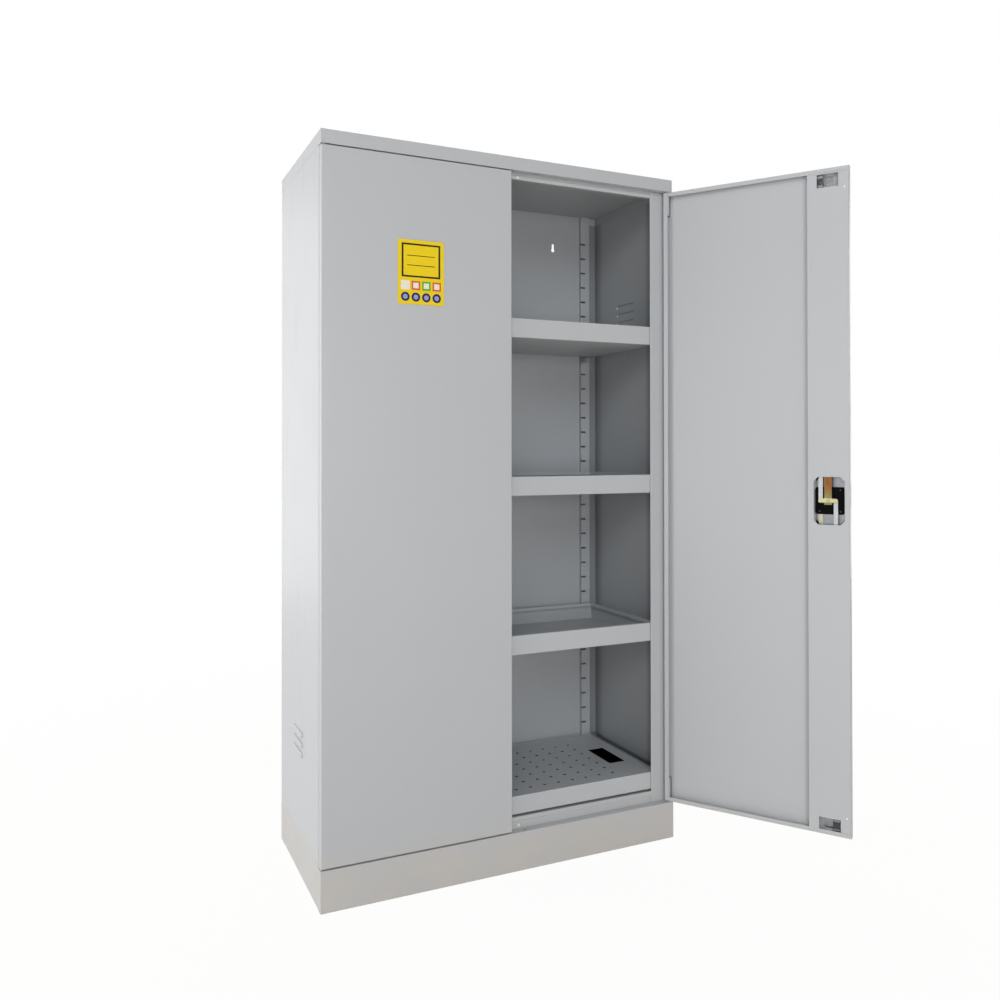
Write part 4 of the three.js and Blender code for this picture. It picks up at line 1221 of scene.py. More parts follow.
class CABINET_OT_plinth(Undoable, bpy.types.Operator):
    """Folds the plinth's front, back and sides."""

    bl_idname = "cabinet.plinth"
    bl_label = "Plinth"

    def end(self, name, node, inner):
        low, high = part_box(node)
        outer_y = high.y if inner < 0 else low.y
        folds = [along(X, y=outer_y), along(Z, y=outer_y), side_folds(high)]
        return folded_box(name, low, high, [(Y, inner)], folds)

    def execute(self, context):
        front = self.end("plinth_face", "plinth_front", 1)
        cut(front, *passages(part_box("plinth_front")[1].z, "lower"))
        stand_for(front, "plinth_front")
        stand_for(self.end("plinth_rear", "plinth_back", -1), "plinth_back")
        low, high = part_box("plinth_side_right")
        foot = high.x - context.scene.cabinet_carcass.plinth_return
        side = bent_sheet(
            "plinth_right",
            [(foot, 0.0), (high.x, 0.0), (high.x, high.z), (low.x, high.z)],
            (-high.y, -low.y),
        )
        turned(side, Matrix(((1, 0, 0, 0), (0, 0, -1, 0), (0, 1, 0, 0), (0, 0, 0, 1))))
        left = mirrored(copied(side, "plinth_left"))
        stand_for(side, "plinth_side_right")
        stand_for(left, "plinth_side_left")
        return {"FINISHED"}


class CABINET_OT_posts(Undoable, bpy.types.Operator):
    """Folds the four shelf posts and punches their slots."""

    bl_idname = "cabinet.posts"
    bl_label = "Shelf posts"

    def punch(self, post, x, y):
        """Cuts the row of slots over a span in X and one in Y."""
        posts = context_sizes("posts")
        half = posts.slot_height / 2
        start = (x[0], y[0], posts.slot_first - half)
        slot = cube("slot", start, (x[1], y[1], posts.slot_first + half))
        cut(post, repeated(slot, posts.slot_count, (0, 0, posts.slot_pitch)))

    def execute(self, context):
        sheet, posts = context.scene.cabinet_sheet, context.scene.cabinet_posts
        past, bend = sheet.overrun, sheet.post_bend
        width, wrap = posts.slot_width, posts.slot_wrap
        low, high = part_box("post_rear_right")
        path = [(low.x, high.y), (low.x, low.y), (high.x, low.y), (high.x, high.y)]
        rear = bent_sheet("post_back_right", path, (low.z, high.z), bend=bend)
        self.punch(rear, (low.x - past, low.x + width), (low.y - past, low.y + wrap))
        low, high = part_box("post_front_right")
        path = [(high.x, high.y), (low.x, high.y), (low.x, low.y), (high.x, low.y)]
        front = bent_sheet("post_door_right", path, (low.z, high.z), bend=bend)
        self.punch(front, (low.x - past, low.x + wrap), (high.y - width, high.y + past))
        for piece, end in ((rear, "rear"), (front, "front")):
            left = mirrored(copied(piece, piece.name.replace("right", "left")))
            stand_for(piece, f"post_{end}_right")
            stand_for(left, f"post_{end}_left")
        return {"FINISHED"}


class CABINET_OT_buffers(Undoable, bpy.types.Operator):
    """Makes the nylon door buffers with rounded heads."""

    bl_idname = "cabinet.buffers"
    bl_label = "Door buffers"

    def buffer(self, place_name):
        low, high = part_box(f"buffer_{place_name}")
        centre = Vector(((low.x + high.x) / 2, (low.z + high.z) / 2))
        radius = (high.z - low.z) / 2
        button = cylinder(f"button_{place_name}", Y, centre, radius, (low.y, high.y), 40)

        def head(a, b):
            return rim(Y, low.y)(a, b) and (a.xz - centre).length > 0.0035

        with Shaping(button) as shape:
            shape.faces(facing(Y, -1)).inset(0.0012)
            shape.edges(head).bevel(0.0008, 3)
        stand_for(button, f"buffer_{place_name}")

    def execute(self, context):
        for level in ("header", "sill"):
            for side in ("left", "right"):
                self.buffer(f"{level}_{side}")
        return {"FINISHED"}


# Trays


class CABINET_OT_shelf_trays(Undoable, bpy.types.Operator):
    """Folds the shelf trays with rims turned in and down."""

    bl_idname = "cabinet.shelf_trays"
    bl_label = "Shelf trays"

    def execute(self, context):
        sheet, trays = context.scene.cabinet_sheet, context.scene.cabinet_trays
        low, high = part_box("shelf_tray_1")
        tray = cube("tray_1", low, high)
        with Shaping(tray) as shape:
            shape.faces(facing(Z, 1)).inset(trays.hem).extrude(z=-trays.hem_drop).remove()
            shape.edges(border(Z, low, high, high.z)).bevel(trays.hem_bend)
            shape.edges(rim(Z, low.z)).bevel(sheet.bend)
            shape.edges(lambda a, b: abs(a.z - b.z) > 0.02).bevel(sheet.bend)
        thicken(tray, sheet.thickness)
        round_edges(tray, sheet.edge)
        outward(tray)
        for i in (2, 3):
            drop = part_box(f"shelf_tray_{i}")[0].z - low.z
            lower = turned(copied(tray, f"tray_{i}"), Matrix.Translation((0, 0, drop)))
            stand_for(lower, f"shelf_tray_{i}")
        stand_for(tray, "shelf_tray_1")
        return {"FINISHED"}


class CABINET_OT_sump(Undoable, bpy.types.Operator):
    """Folds the sump tray on its two feet."""

    bl_idname = "cabinet.sump"
    bl_label = "Sump tray"

    def foot(self, x, low, high, level):
        """A foot that tapers downwards."""
        trays = context_sizes("trays")
        half = trays.foot_width / 2
        front, back = low.y + trays.foot_inset, high.y - trays.foot_inset
        foot = cube("foot", (x - half, front, low.z), (x + half, back, level))
        with Shaping(foot) as shape:
            shape.faces(facing(Z, -1)).scale(x=0.8, about=(x, 0, 0))
            shape.edges(rim(Z, low.z)).bevel(0.001, 3)
        return foot

    def execute(self, context):
        sheet, trays = context.scene.cabinet_sheet, context.scene.cabinet_trays
        low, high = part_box("sump_tray")
        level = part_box("perforated_floor")[0].z - sheet.thickness - sheet.gap
        folds = [rim(Z, level), along(Z)]
        tray = folded_box("sump", (low.x, low.y, level), high, [(Z, 1)], folds)
        inside = level + sheet.thickness / 2
        fuse(tray, *(self.foot(x, low, high, inside) for x in (-trays.foot_x, trays.foot_x)))
        # Its inside takes the painted shade of the sump.
        stand_for(tray, "sump_tray", "lined_paint")
        return {"FINISHED"}


class CABINET_OT_perforated_floor(Undoable, bpy.types.Operator):
    """Folds the lift-out floor and punches its holes and grip holes."""

    bl_idname = "cabinet.perforated_floor"
    bl_label = "Perforated floor"

    def execute(self, context):
        trays = context.scene.cabinet_trays
        past = context.scene.cabinet_sheet.overrun
        low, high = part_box("perforated_floor")
        floor = folded_box("floor_panel", low, high, [(Z, -1)], [rim(Z, high.z), along(Z)])
        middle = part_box("sump_tray")[0].y + trays.hole_setback
        ends = (high.z - past, high.z + past)
        pitch = trays.hole_pitch
        corner = (-(trays.columns - 1) / 2 * pitch, middle - (trays.rows - 1) / 2 * pitch)
        punch = cylinder("punch", Z, corner, trays.hole_radius, ends, 20)
        repeated(punch, trays.columns, (pitch, 0, 0))
        repeated(punch, trays.rows, (0, pitch, 0))
        half, reach = trays.grip_width / 2, trays.grip_length / 2
        grips = [
            rounded_block(
                "grip_hole",
                (x - half, middle - reach, ends[0]),
                (x + half, middle + reach, ends[1]),
                Z,
                trays.grip_corner,
                4,
            )
            for x in (-trays.grip_x, trays.grip_x)
        ]
        cut(floor, punch, *grips)
        # Its underside takes the painted shade of the sump.
        stand_for(floor, "perforated_floor", "lined_paint")
        return {"FINISHED"}


# Doors


def closed_door():
    """Corners of the closed right door, from the left door's node."""
    low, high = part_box("door_left_skin")
    return Vector((-high.x, low.y, low.z)), Vector((-low.x, high.y, high.z))


class CABINET_OT_door_skins(Undoable, bpy.types.Operator):
    """Folds the two door skins with side and end lips and cuts their passages."""

    bl_idname = "cabinet.door_skins"
    bl_label = "Door skins"

    def fold(self, name):
        """The folded sheet, before anything is cut out of it."""
        sheet, doors = context_sizes("sheet"), context_sizes("doors")
        low, high = closed_door()
        notch = sheet.thickness + doors.relief
        lip_from = low.x + notch
        lip_to = high.x - doors.side_lip - doors.relief
        slack = 0.0001

        def side_fold(a, b):
            inside = min(a.z, b.z) > low.z + notch / 2 and max(a.z, b.z) < high.z - notch / 2
            return inside and along(Z, x=high.x, y=high.y)(a, b)

        def end_fold(z):
            return lambda a, b: (
                along(X, y=high.y, z=z)(a, b)
                and min(a.x, b.x) > lip_from - slack
                and max(a.x, b.x) < lip_to + slack
            )

        skin = cube(name, low, high)
        with Shaping(skin) as shape:
            shape.faces(facing(Y, 1)).remove()
            shape.split_at(X, lip_from).split_at(X, lip_to)
            shape.split_at(Z, low.z + notch).split_at(Z, high.z - notch)
            shape.edges(side_fold).extrude(x=-doors.side_lip)
            for z, sign in ((high.z, -1), (low.z, 1)):
                shape.edges(end_fold(z)).extrude(z=sign * doors.end_lip)
            shape.edges(border(Y, low, high, low.y)).bevel(sheet.bend)
            shape.edges(side_fold).bevel(sheet.bend * 0.8)
            for z in (low.z, high.z):
                shape.edges(end_fold(z)).bevel(sheet.bend * 0.8)
        thicken(skin, sheet.thickness)
        round_edges(skin, sheet.edge)
        return outward(skin)

    def skin(self, name, with_lock):
        sheet, doors = context_sizes("sheet"), context_sizes("doors")
        low, high = closed_door()
        past = sheet.overrun
        skin = self.fold(name)
        cam_low, cam_high = closed_box("lock_cam")
        axis = spindle_axis()
        tongue = cube(
            "tongue_slot",
            (low.x - past, cam_low.y + 0.002, axis.z - doors.slot_drop),
            (low.x + sheet.thickness * 2, cam_high.y + 0.001, axis.z + doors.slot_rise),
        )
        x, y, _ = JOINTS["door_right_hinge"]["pos_m"]
        ends = {"upper": (high.z - past, high.z + past), "lower": (low.z - past, low.z + past)}
        cutters = [tongue]
        for rod in ("lower", "upper"):
            cutters.append(cylinder("pin_hole", Z, (x, y), doors.pin_hole, ends[rod]))
        if with_lock:
            cutters += [rod_slot(rod, ends[rod]) for rod in ("upper", "lower")]
            cutters.append(shaft_hole(axis, low.y, low.y))
        return outward(cut(skin, *cutters))

    def execute(self, context):
        stand_for(mirrored(self.skin("skin_left", False)), "door_left_skin")
        stand_for(turned(self.skin("skin_right", True), DOOR_SWING), "door_right_skin")
        return {"FINISHED"}


class CABINET_OT_door_channels(Undoable, bpy.types.Operator):
    """Folds the stiffening channels and cuts the lock window and the guide windows."""

    bl_idname = "cabinet.door_channels"
    bl_label = "Door channels"

    def channel(self, name):
        low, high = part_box("door_left_channel")
        inner, free = -low.x, -high.x
        foot = inner - context_sizes("doors").channel_foot
        path = [(foot, low.y), (inner, low.y), (inner, high.y), (free, high.y)]
        return bent_sheet(
            name, path, (low.z, high.z), bend=context_sizes("sheet").post_bend
        )

    def open_windows(self, channel, back):
        lock = context_sizes("lock")
        depth = (back - 0.0018, back + 0.004)
        case_low, case_high = closed_box("lock_case")
        middle = (case_low + case_high) / 2
        half, rise = lock.window_width / 2, lock.window_height / 2
        window = rounded_block(
            "window",
            (middle.x - half, depth[0], middle.z - rise),
            (middle.x + half, depth[1], middle.z + rise),
            Y,
            lock.window_corner,
            1,
        )
        low, high = closed_door()
        x, half = middle.x + lock.guide_shift, lock.guide_width / 2
        tall = lock.guide_height
        openings = [
            cube("guide_window", (x - half, depth[0], z), (x + half, depth[1], z + tall))
            for z in (high.z - lock.guide_top - tall, low.z + lock.guide_bottom)
        ]
        cut(channel, window, *openings)

    def execute(self, context):
        stand_for(mirrored(self.channel("channel_left")), "door_left_channel")
        right = self.channel("channel_right")
        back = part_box("door_left_channel")[1].y
        self.open_windows(right, back)
        stand_for(turned(right, DOOR_SWING), "door_right_channel")
        doors = context.scene.cabinet_doors
        low, high = closed_door()
        ends = (back - 0.001, back + doors.plug_head)
        heights = {"upper": high.z - doors.plug_top, "lower": low.z + doors.plug_bottom}
        for level, z in heights.items():
            centre = (low.x + doors.plug_inset, z)
            plug = stud(f"plug_{level}", centre, doors.plug_radius, ends, ends[1], 0.0007, 3, 24)
            place(turned(plug, DOOR_SWING), "door_right", "white_nylon")
        return {"FINISHED"}


class CABINET_OT_plate(Undoable, bpy.types.Operator):
    """Makes the printed plate on the left door."""

    bl_idname = "cabinet.plate"
    bl_label = "Door plate"

    def execute(self, context):
        plate = rounded_block("door_plate", *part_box("sign_plate"), Y, 0.003, 5)
        round_edges(plate, 0.0002)
        stand_for(plate, "sign_plate")
        return {"FINISHED"}


# Lock


def shaft_hole(axis, low, high):
    """Cutter for the hole that the spindle runs through, between two places in Y."""
    past = context_sizes("sheet").overrun
    radius = context_sizes("lock").shaft_hole
    return cylinder("shaft_hole", Y, (axis.x, axis.z), radius, (low - past, high + past))


def square_hole(axis, low, high):
    """Cutter for the square that sits on the spindle, between two places in Y."""
    w = context_sizes("lock").square
    return cube("square", (axis.x - w, low, axis.z - w), (axis.x + w, high, axis.z + w))


class CABINET_OT_lock_body(Undoable, bpy.types.Operator):
    """Makes the zinc plate, the moulded case and the screws behind the window."""

    bl_idname = "cabinet.lock_body"
    bl_label = "Lock plate and case"

    def plate(self, lock, axis):
        low, high = closed_box("lock_plate")
        plate = rounded_block("mounting_plate", low, high, Y, lock.plate_corner, 1)
        round_edges(plate, 0.0003)
        cut(plate, shaft_hole(axis, low.y, high.y))
        stand_for(turned(plate, DOOR_SWING), "lock_plate", "dull_zinc")

        # Painted shade: a black backing behind the plate stands in for the shade in the window's corners.
        start = (low.x - 0.008, low.y - 0.0002, low.z)
        base = rounded_block(
            "case_base", start, (high.x, high.y - 0.0005, high.z), Y, 0.003, 4
        )
        place(turned(base, DOOR_SWING), "door_right", "black_plastic")

        start = (0.0760, high.y - 0.0002, 0.966)
        tab = rounded_block("plate_tab", start, (0.0885, high.y + 0.0022, 0.998), Y, 0.002, 3)
        round_edges(tab, 0.0003)
        place(turned(tab, DOOR_SWING), "door_right", "zinc", finish="warm_zinc")

    def case(self, axis):
        low, high = closed_box("lock_case")
        case = rounded_block("lock_housing", low, high, Y, 0.007, 5)
        with Shaping(case) as shape:
            shape.faces(facing(Y, 1)).inset(0.003).extrude(y=-0.0012)
            shape.edges(rim(Y, high.y)).bevel(0.0006, 3)
        cut(case, shaft_hole(axis, low.y, high.y))
        stand_for(turned(case, DOOR_SWING), "lock_case")

    def screw(self, name, x, z, face):
        """A cross-head screw sunk in the case."""
        head = face + 0.0001
        radius = context_sizes("lock").screw_radius
        screw = stud(name, (x, z), radius, (face - 0.0022, head), head, 0.0009, 3, 28)
        bars = [
            cube("bar", (x - w, face - 0.0008, z - h), (x + w, face + 0.002, z + h))
            for w, h in ((0.0018, 0.0004), (0.0004, 0.0018))
        ]
        cut(screw, fuse(*bars))
        place(turned(screw, DOOR_SWING), "door_right", "zinc", finish="black_zinc")

    def execute(self, context):
        lock = context.scene.cabinet_lock
        axis = spindle_axis()
        self.plate(lock, axis)
        self.case(axis)
        low, high = closed_box("lock_case")
        middle = (low.x + high.x) / 2
        for i, (side, rise) in enumerate(((-1, -1), (1, 1), (-1, 1), (1, -1))):
            x, z = middle + side * lock.screw_x, axis.z + rise * lock.screw_z
            self.screw(f"case_screw_{i + 1}", x, z, high.y)
        return {"FINISHED"}


class CABINET_OT_lock_motion(Undoable, bpy.types.Operator):
    """Makes the cam with its tongue, the spindle, the two rods and their pins."""

    bl_idname = "cabinet.lock_motion"
    bl_label = "Cam and rods"

    def cam(self, lock, axis):
        low, high = closed_box("lock_cam")
        arm, tongue = lock.arm, lock.tongue
        start = (axis.x - tongue, high.y - 0.003, axis.z - arm)
        cam = cube("cam", start, (axis.x + tongue, high.y, axis.z + arm))

        def end_of_tongue(sign):
            return lambda c, n: n.z * sign > 0.99 and abs(c.x - axis.x) < tongue

        def arm_ends(a, b):
            return along(Y)(a, b) and (same(a.x, low.x) or same(a.x, high.x))

        with Shaping(cam) as shape:
            shape.faces(facing(X, 1)).extrude(x=high.x - axis.x - tongue)
            shape.faces(facing(X, -1)).extrude(x=-(axis.x - tongue - low.x))
            shape.faces(end_of_tongue(1)).extrude(z=high.z - axis.z - arm)
            shape.faces(end_of_tongue(-1)).extrude(z=-(lock.hub - arm))
            shape.edges(along(Y, z=high.z)).bevel(0.0085, 8)
            shape.edges(arm_ends).bevel(0.005, 6)
        fuse(cam, cylinder("hub", Y, (axis.x, axis.z), lock.hub, (low.y, high.y), 48))
        round_edges(cam, 0.0004)
        cut(cam, square_hole(axis, low.y - 0.004, high.y + 0.004))
        stand_for(turned(outward(cam), DOOR_SWING), "lock_cam")

    def spindle(self):
        spindle = cube("square_bar", *closed_box("lock_spindle"))
        with Shaping(spindle) as shape:
            shape.faces(facing(Y, 1)).inset(0.0008)
            shape.edges(along(Y)).bevel(0.0006, 2)
        round_edges(spindle, 0.0002)
        stand_for(turned(spindle, DOOR_SWING), "lock_spindle", "warm_zinc")

    def rod(self, level, end, stop):
        """A rod that ends behind the cam's arm, and its pin."""
        low, high = closed_box(f"lock_rod_{level}")
        inner = high if end > 0 else low
        inner.z = stop.z + end * context_sizes("lock").rod_stop
        rod = rounded_block(f"rod_{level}", low, high, Y, 0.0035, 4)
        round_edges(rod, 0.0003)
        stand_for(turned(rod, DOOR_SWING), f"lock_rod_{level}")
        centre = ((low.x + high.x) / 2, stop.z)
        ends = (high.y - 0.0005, high.y + 0.0004)
        pin = cylinder(f"rod_pin_{level}", Y, centre, 0.0028, ends, 28)
        place(turned(pin, DOOR_SWING), f"rod_{level}", "zinc")

    def execute(self, context):
        axis = spindle_axis()
        self.cam(context.scene.cabinet_lock, axis)
        self.spindle()
        self.rod("upper", -1, axis)
        self.rod("lower", 1, axis)
        return {"FINISHED"}


class CABINET_OT_rod_guides(Undoable, bpy.types.Operator):
    """Folds the two rod guides and adds their bushes and rivets."""

    bl_idname = "cabinet.rod_guides"
    bl_label = "Rod guides"

    def bush(self, name, low, high, wall):
        """A sleeve over the guide's crown."""
        wrap = Vector((wall, 0, 0))
        top = high + wrap + Vector((0, wall, 0))
        bush = cube(name, low - wrap, top)
        with Shaping(bush) as shape:
            shape.edges(along(Z, y=top.y)).bevel(0.0012, 3)
            shape.edges(along(X, y=top.y)).bevel(0.0008, 3)
        play = Vector((0.00005, 0.00005, 0.01))
        hollow = cube("hollow", low - play - Vector((0, 0.003, 0)), high + play)
        bush = turned(outward(cut(bush, hollow)), DOOR_SWING)
        place(bush, "door_right", "zinc", finish="black_zinc")

    def guide(self, level, sheet, wall):
        low, high = closed_box(f"rod_guide_{level}")
        rod_low, rod_high = closed_box(f"lock_rod_{level}")
        middle = (rod_low.x + rod_high.x) / 2
        half = (rod_high.x - rod_low.x) / 2 + 0.0012 + wall
        left, right = middle - half, middle + half
        foot = low.y + wall
        path = [(high.x, foot), (right, foot), (right, high.y)]
        path += [(left, high.y), (left, foot), (low.x, foot)]
        ends = (low.z, high.z)
        guide = bent_sheet(
            f"guide_{level}", path, ends, thickness=wall, bend=sheet.rail_bend
        )
        stand_for(turned(guide, DOOR_SWING), f"rod_guide_{level}", "dull_zinc")
        crown = Vector((left, foot, low.z + 0.005)), Vector((right, high.y, high.z - 0.005))
        self.bush(f"rod_bush_{level}", *crown, wall)
        x = (low.x + left) / 2 if level == "upper" else (high.x + right) / 2
        head = foot + 0.0011
        for side in (-1, 1):
            name, z = f"guide_rivet_{level}_{side + 2}", (low.z + high.z) / 2 + side * 0.008
            rivet = stud(name, (x, z), 0.0025, (foot - 0.0004, head), head, 0.0009, 3, 24)
            place(turned(rivet, DOOR_SWING), "door_right", "zinc")

    def execute(self, context):
        for level in ("upper", "lower"):
            self.guide(level, context.scene.cabinet_sheet, context.scene.cabinet_lock.guide_wall)
        return {"FINISHED"}


class CABINET_OT_turn_grip(Undoable, bpy.types.Operator):
    """Makes the rose, the turn grip and its key cylinder on the outside of the right door."""

    bl_idname = "cabinet.turn_grip"
    bl_label = "Turn grip"

    def wings(self, low, high, axis, half):
        """The two wings, waisted at the hub and swept back at their tips."""
        start = (low.x, low.y, axis.z - half)
        wing = cube("wing", start, (high.x, high.y - 0.0006, axis.z + half))
        with Shaping(wing) as shape:
            for x in (axis.x - 0.022, axis.x, axis.x + 0.022):
                shape.split_at(X, x)
            shape.verts(lambda p: same(p.x, axis.x)).scale(z=0.8, about=axis)
            shape.verts(
                lambda p: abs(p.x - axis.x) > 0.035 and p.y > high.y - 0.001
            ).move(y=-0.008)
            shape.edges(lambda a, b: along(Y)(a, b) or along(Z)(a, b)).bevel(0.004, 4)
        return round_edges(wing, 0.0022, 4, 30)

    def execute(self, context):
        lock = context.scene.cabinet_lock
        axis = spindle_axis()
        centre = (axis.x, axis.z)
        low, high = closed_box("grip_rose")
        ends = (low.y, high.y)
        rose = stud("rose", centre, (high.x - low.x) / 2, ends, low.y, 0.0018, 5, 64)
        cut(rose, shaft_hole(axis, low.y, high.y))
        stand_for(turned(rose, DOOR_SWING), "grip_rose")

        low, high = closed_box("turn_grip")
        ends = (high.y - lock.grip_depth, high.y)
        hub = stud("grip", centre, lock.grip_radius, ends, ends[0], 0.003, 5, 64)
        fuse(hub, self.wings(low, high, axis, lock.wing))
        fuse(hub, cylinder("boss", Y, centre, 0.0088, (low.y, high.y), 48))
        key_low, key_high = closed_box("key_cylinder")
        radius = (key_high.x - key_low.x) / 2
        bore = (low.y - 0.004, low.y + 0.009)
        cut(
            hub,
            square_hole(axis, ends[0], high.y + 0.004),
            cylinder("bore", Y, centre, radius + 0.0004, bore, 48),
        )
        stand_for(turned(outward(hub), DOOR_SWING), "turn_grip")

        ends = (key_low.y, key_high.y)
        key = stud("key_barrel", centre, radius, ends, key_low.y, 0.0006, 3, 48)
        start = (axis.x - 0.0008, key_low.y - 0.004, axis.z - 0.0035)
        end = (axis.x + 0.0008, key_low.y + 0.003, axis.z + 0.0035)
        cut(key, cube("keyway", start, end))
        stand_for(turned(key, DOOR_SWING), "key_cylinder")
        return {"FINISHED"}


class CABINET_OT_small_nodes(Undoable, bpy.types.Operator):
    """Breaks the edges of the clips, pivots and base rail that are carried over as they are."""

    bl_idname = "cabinet.small_nodes"
    bl_label = "Clips, pivots and base rail"

    def execute(self, context):
        for name, node in frame["nodes"].items():
            if not name.startswith(("clip_", "pivot_", "base_rail")):
                continue
            weld = node.modifiers.new("Weld", "WELD")
            weld.merge_threshold = 0.00001
            bevel = node.modifiers.new("Broken edges", "BEVEL")
            bevel.width = 0.0003
            bevel.segments = 2
            bevel.limit_method = "ANGLE"
            bevel.angle_limit = math.radians(40)
        return {"FINISHED"}


# Studio


class CABINET_OT_studio(Undoable, bpy.types.Operator):
    """Sets up the pale floor, the soft boxes, the surroundings and the camera."""

    bl_idname = "cabinet.studio"
    bl_label = "Studio"

    def lamp(self, name, stand, target, size, power):
        bpy.ops.object.select_all(action="DESELECT")
        bpy.ops.object.light_add(type="AREA", location=stand)
        lamp = bpy.context.object
        lamp.name = name
        lamp.data.shape = "RECTANGLE"
        lamp.data.size, lamp.data.size_y = size
        lamp.data.energy = power
        aim = Vector(target) - Vector(stand)
        lamp.rotation_euler = aim.to_track_quat("-Z", "Y").to_euler()

    def seen_directly(self, tree):
        """1 for camera, mirror and glass rays, 0 for light that falls on the object."""
        rays = add_node(tree, "ShaderNodeLightPath").outputs
        largest = {"operation": "MAXIMUM"}
        camera, mirror = rays["Is Camera Ray"], rays["Is Glossy Ray"]
        either = add_node(tree, "ShaderNodeMath", largest, camera, mirror).outputs[0]
        glass = rays["Is Transmission Ray"]
        return add_node(tree, "ShaderNodeMath", largest, either, glass).outputs[0]

    def surroundings(self, settings):
        world = bpy.data.worlds.new("studio_world")
        bpy.context.scene.world = world
        world.use_nodes = True
        tree = world.node_tree
        light = tree.nodes["Background"]
        light.inputs["Color"].default_value = (1, 1, 1, 1)
        light.inputs["Strength"].default_value = settings.ambient
        white = add_node(tree, "ShaderNodeBackground", {}, Color=(1, 1, 1), Strength=1.0)
        shares = (self.seen_directly(tree), light.outputs[0], white.outputs[0])
        mix = add_node(tree, "ShaderNodeMixShader", {}, *shares)
        fill(tree.nodes["World Output"].inputs[0], mix.outputs[0])

    def floor(self):
        bpy.ops.object.select_all(action="DESELECT")
        bpy.ops.mesh.primitive_plane_add(size=16, location=(0, 0, -0.0003))
        floor = settle(bpy.context.object, "studio_floor")
        material = bpy.data.materials.new("studio_floor")
        material.use_nodes = True
        tree = material.node_tree
        pale = tree.nodes["Principled BSDF"]
        pale.inputs["Base Color"].default_value = (1.0, 0.90, 0.80, 1)
        pale.inputs["Roughness"].default_value = 0.9
        glow = add_node(tree, "ShaderNodeEmission", {}, Strength=1.0)
        coordinates = add_node(tree, "ShaderNodeTexCoord").outputs["Object"]
        reach = add_node(tree, "ShaderNodeVectorMath", {"operation": "LENGTH"}, coordinates)
        fade = add_node(
            tree,
            "ShaderNodeMapRange",
            {},
            Value=reach.outputs["Value"],
            From_Min=1.0,
            From_Max=3.0,
            To_Min=0.95,
        )
        share = add_node(
            tree,
            "ShaderNodeMath",
            {"operation": "MULTIPLY"},
            self.seen_directly(tree),
            fade.outputs["Result"],
        )
        shares = (share.outputs[0], pale.outputs[0], glow.outputs[0])
        mix = add_node(tree, "ShaderNodeMixShader", {}, *shares)
        fill(tree.nodes["Material Output"].inputs[0], mix.outputs[0])
        floor.data.materials.append(material)

    def camera(self, settings):
        yaw, pitch, roll = settings.camera_turn
        reach = math.cos(pitch)
        ahead = Vector((math.sin(yaw) * reach, math.cos(yaw) * reach, math.sin(pitch)))
        level = Vector((math.cos(yaw), -math.sin(yaw), 0))
        upright = level.cross(ahead)
        right = math.cos(roll) * level + math.sin(roll) * upright
        up = -math.sin(roll) * level + math.cos(roll) * upright
        bpy.ops.object.select_all(action="DESELECT")
        bpy.ops.object.camera_add(location=settings.camera_place)
        camera = bpy.context.object
        turn = Matrix((right, up, -ahead)).transposed().to_4x4()
        camera.matrix_world = Matrix.Translation(settings.camera_place) @ turn
        camera.data.sensor_width = 36
        camera.data.lens = settings.lens
        camera.data.shift_x, camera.data.shift_y = settings.camera_shift
        camera.data.clip_end = 100
        bpy.context.scene.camera = camera

    def execute(self, context):
        settings = context.scene.cabinet_studio
        lamps = (
            ("near_box", (-2.6, -0.8, 1.1), (-0.54, -0.1, 1.1), (1.2, 1.4), settings.near_power),
            ("left_box", (-4.5, 0.2, 1.4), (-0.54, 0, 1.0), (2.6, 2.6), settings.left_power),
            ("high_box", (-2.6, -6.0, 4.1), (0, 0, 1.0), (3.2, 2.5), settings.high_power),
            ("front_box", (-0.6, -4.6, 1.2), (0.2, -0.3, 1.0), (1.4, 1.4), settings.front_power),
            ("back_card", (-1.9, 4.6, 1.2), (-0.54, 0, 1.1), (3.0, 4.0), settings.back_power),
            ("right_card", (4.4, 1.6, 1.5), (0.54, 0, 1.0), (2.4, 2.6), settings.right_power),
            ("top_card", (0.7, 1.3, 4.4), (0, 0.2, 2.0), (2.0, 2.0), settings.top_power),
        )
        for lamp in lamps:
            self.lamp(*lamp)
        self.surroundings(settings)
        self.floor()
        self.camera(settings)
        context.scene.view_settings.view_transform = "Standard"
        return {"FINISHED"}


PIECES = (
    CABINET_OT_finishes,
    CABINET_OT_side_panels,
    CABINET_OT_cap,
    CABINET_OT_inner_panels,
    CABINET_OT_rails,
    CABINET_OT_plinth,
    CABINET_OT_posts,
    CABINET_OT_buffers,
    CABINET_OT_shelf_trays,
    CABINET_OT_sump,
    CABINET_OT_perforated_floor,
    CABINET_OT_door_skins,
    CABINET_OT_door_channels,
    CABINET_OT_plate,
    CABINET_OT_lock_body,
    CABINET_OT_lock_motion,
    CABINET_OT_rod_guides,
    CABINET_OT_turn_grip,
    CABINET_OT_small_nodes,
    CABINET_OT_studio,
)


class CABINET_PT_pieces(bpy.types.Panel):
    """Lists the pieces and the sizes they are made with."""

    bl_idname = "CABINET_PT_pieces"
    bl_label = "Safety Cabinet"
    bl_space_type = "VIEW_3D"
    bl_region_type = "UI"
    bl_category = "Safety Cabinet"

    def draw(self, context):
        layout = self.layout
        for operator in PIECES:
            layout.operator(operator.bl_idname)
        for name, group in GROUPS.items():
            box = layout.box()
            box.label(text=group.__doc__)
            for field in group.__annotations__:
                box.prop(getattr(context.scene, name), field)


def register():
    for group in GROUPS.values():
        bpy.utils.register_class(group)
    for name, group in GROUPS.items():
        setattr(bpy.types.Scene, name, PointerProperty(type=group))
    for operator in PIECES:
        bpy.utils.register_class(operator)
    bpy.utils.register_class(CABINET_PT_pieces)


def unregister():
    bpy.utils.unregister_class(CABINET_PT_pieces)
    for operator in reversed(PIECES):
        bpy.utils.unregister_class(operator)
    for name in GROUPS:
        delattr(bpy.types.Scene, name)
    for group in reversed(GROUPS.values()):
        bpy.utils.unregister_class(group)


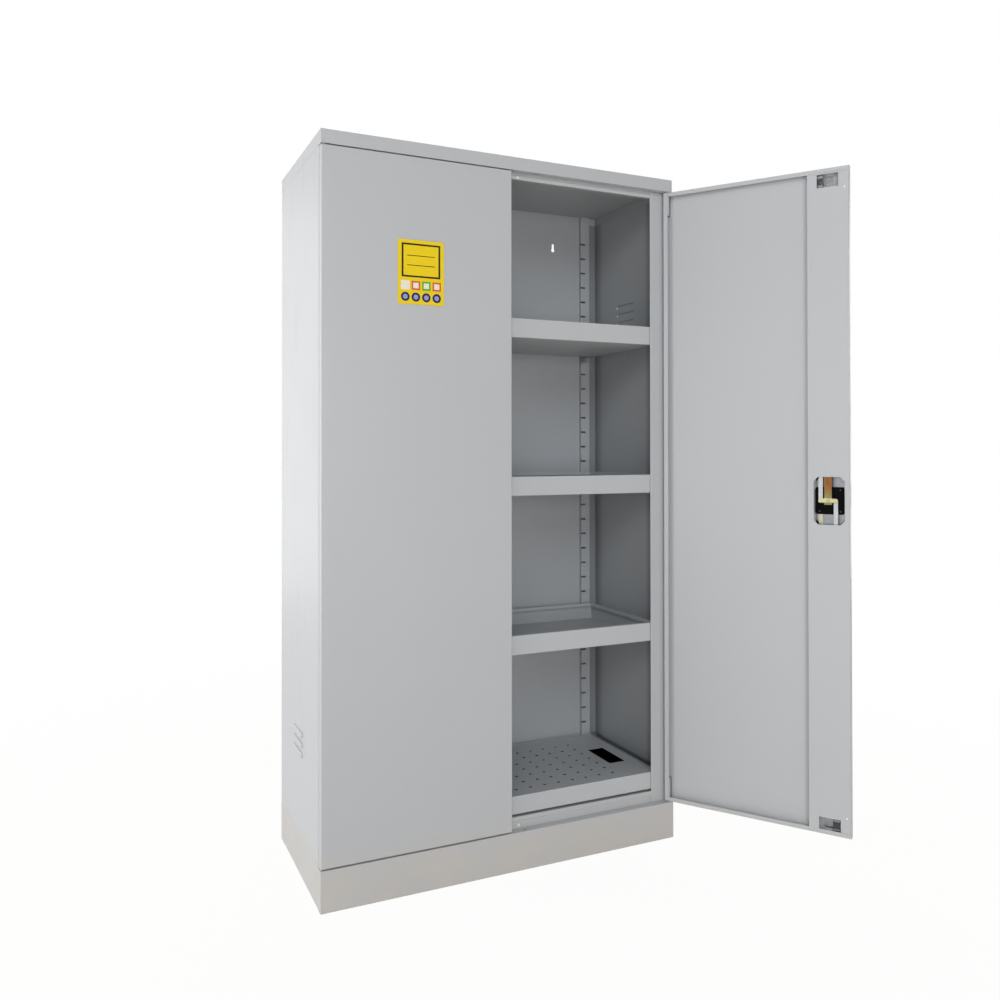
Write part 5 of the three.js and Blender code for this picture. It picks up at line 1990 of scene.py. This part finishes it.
def main():
    register()
    for operator in PIECES:
        family, name = operator.bl_idname.split(".")
        getattr(getattr(bpy.ops, family), name)()


if __name__ == "__main__":
    main()
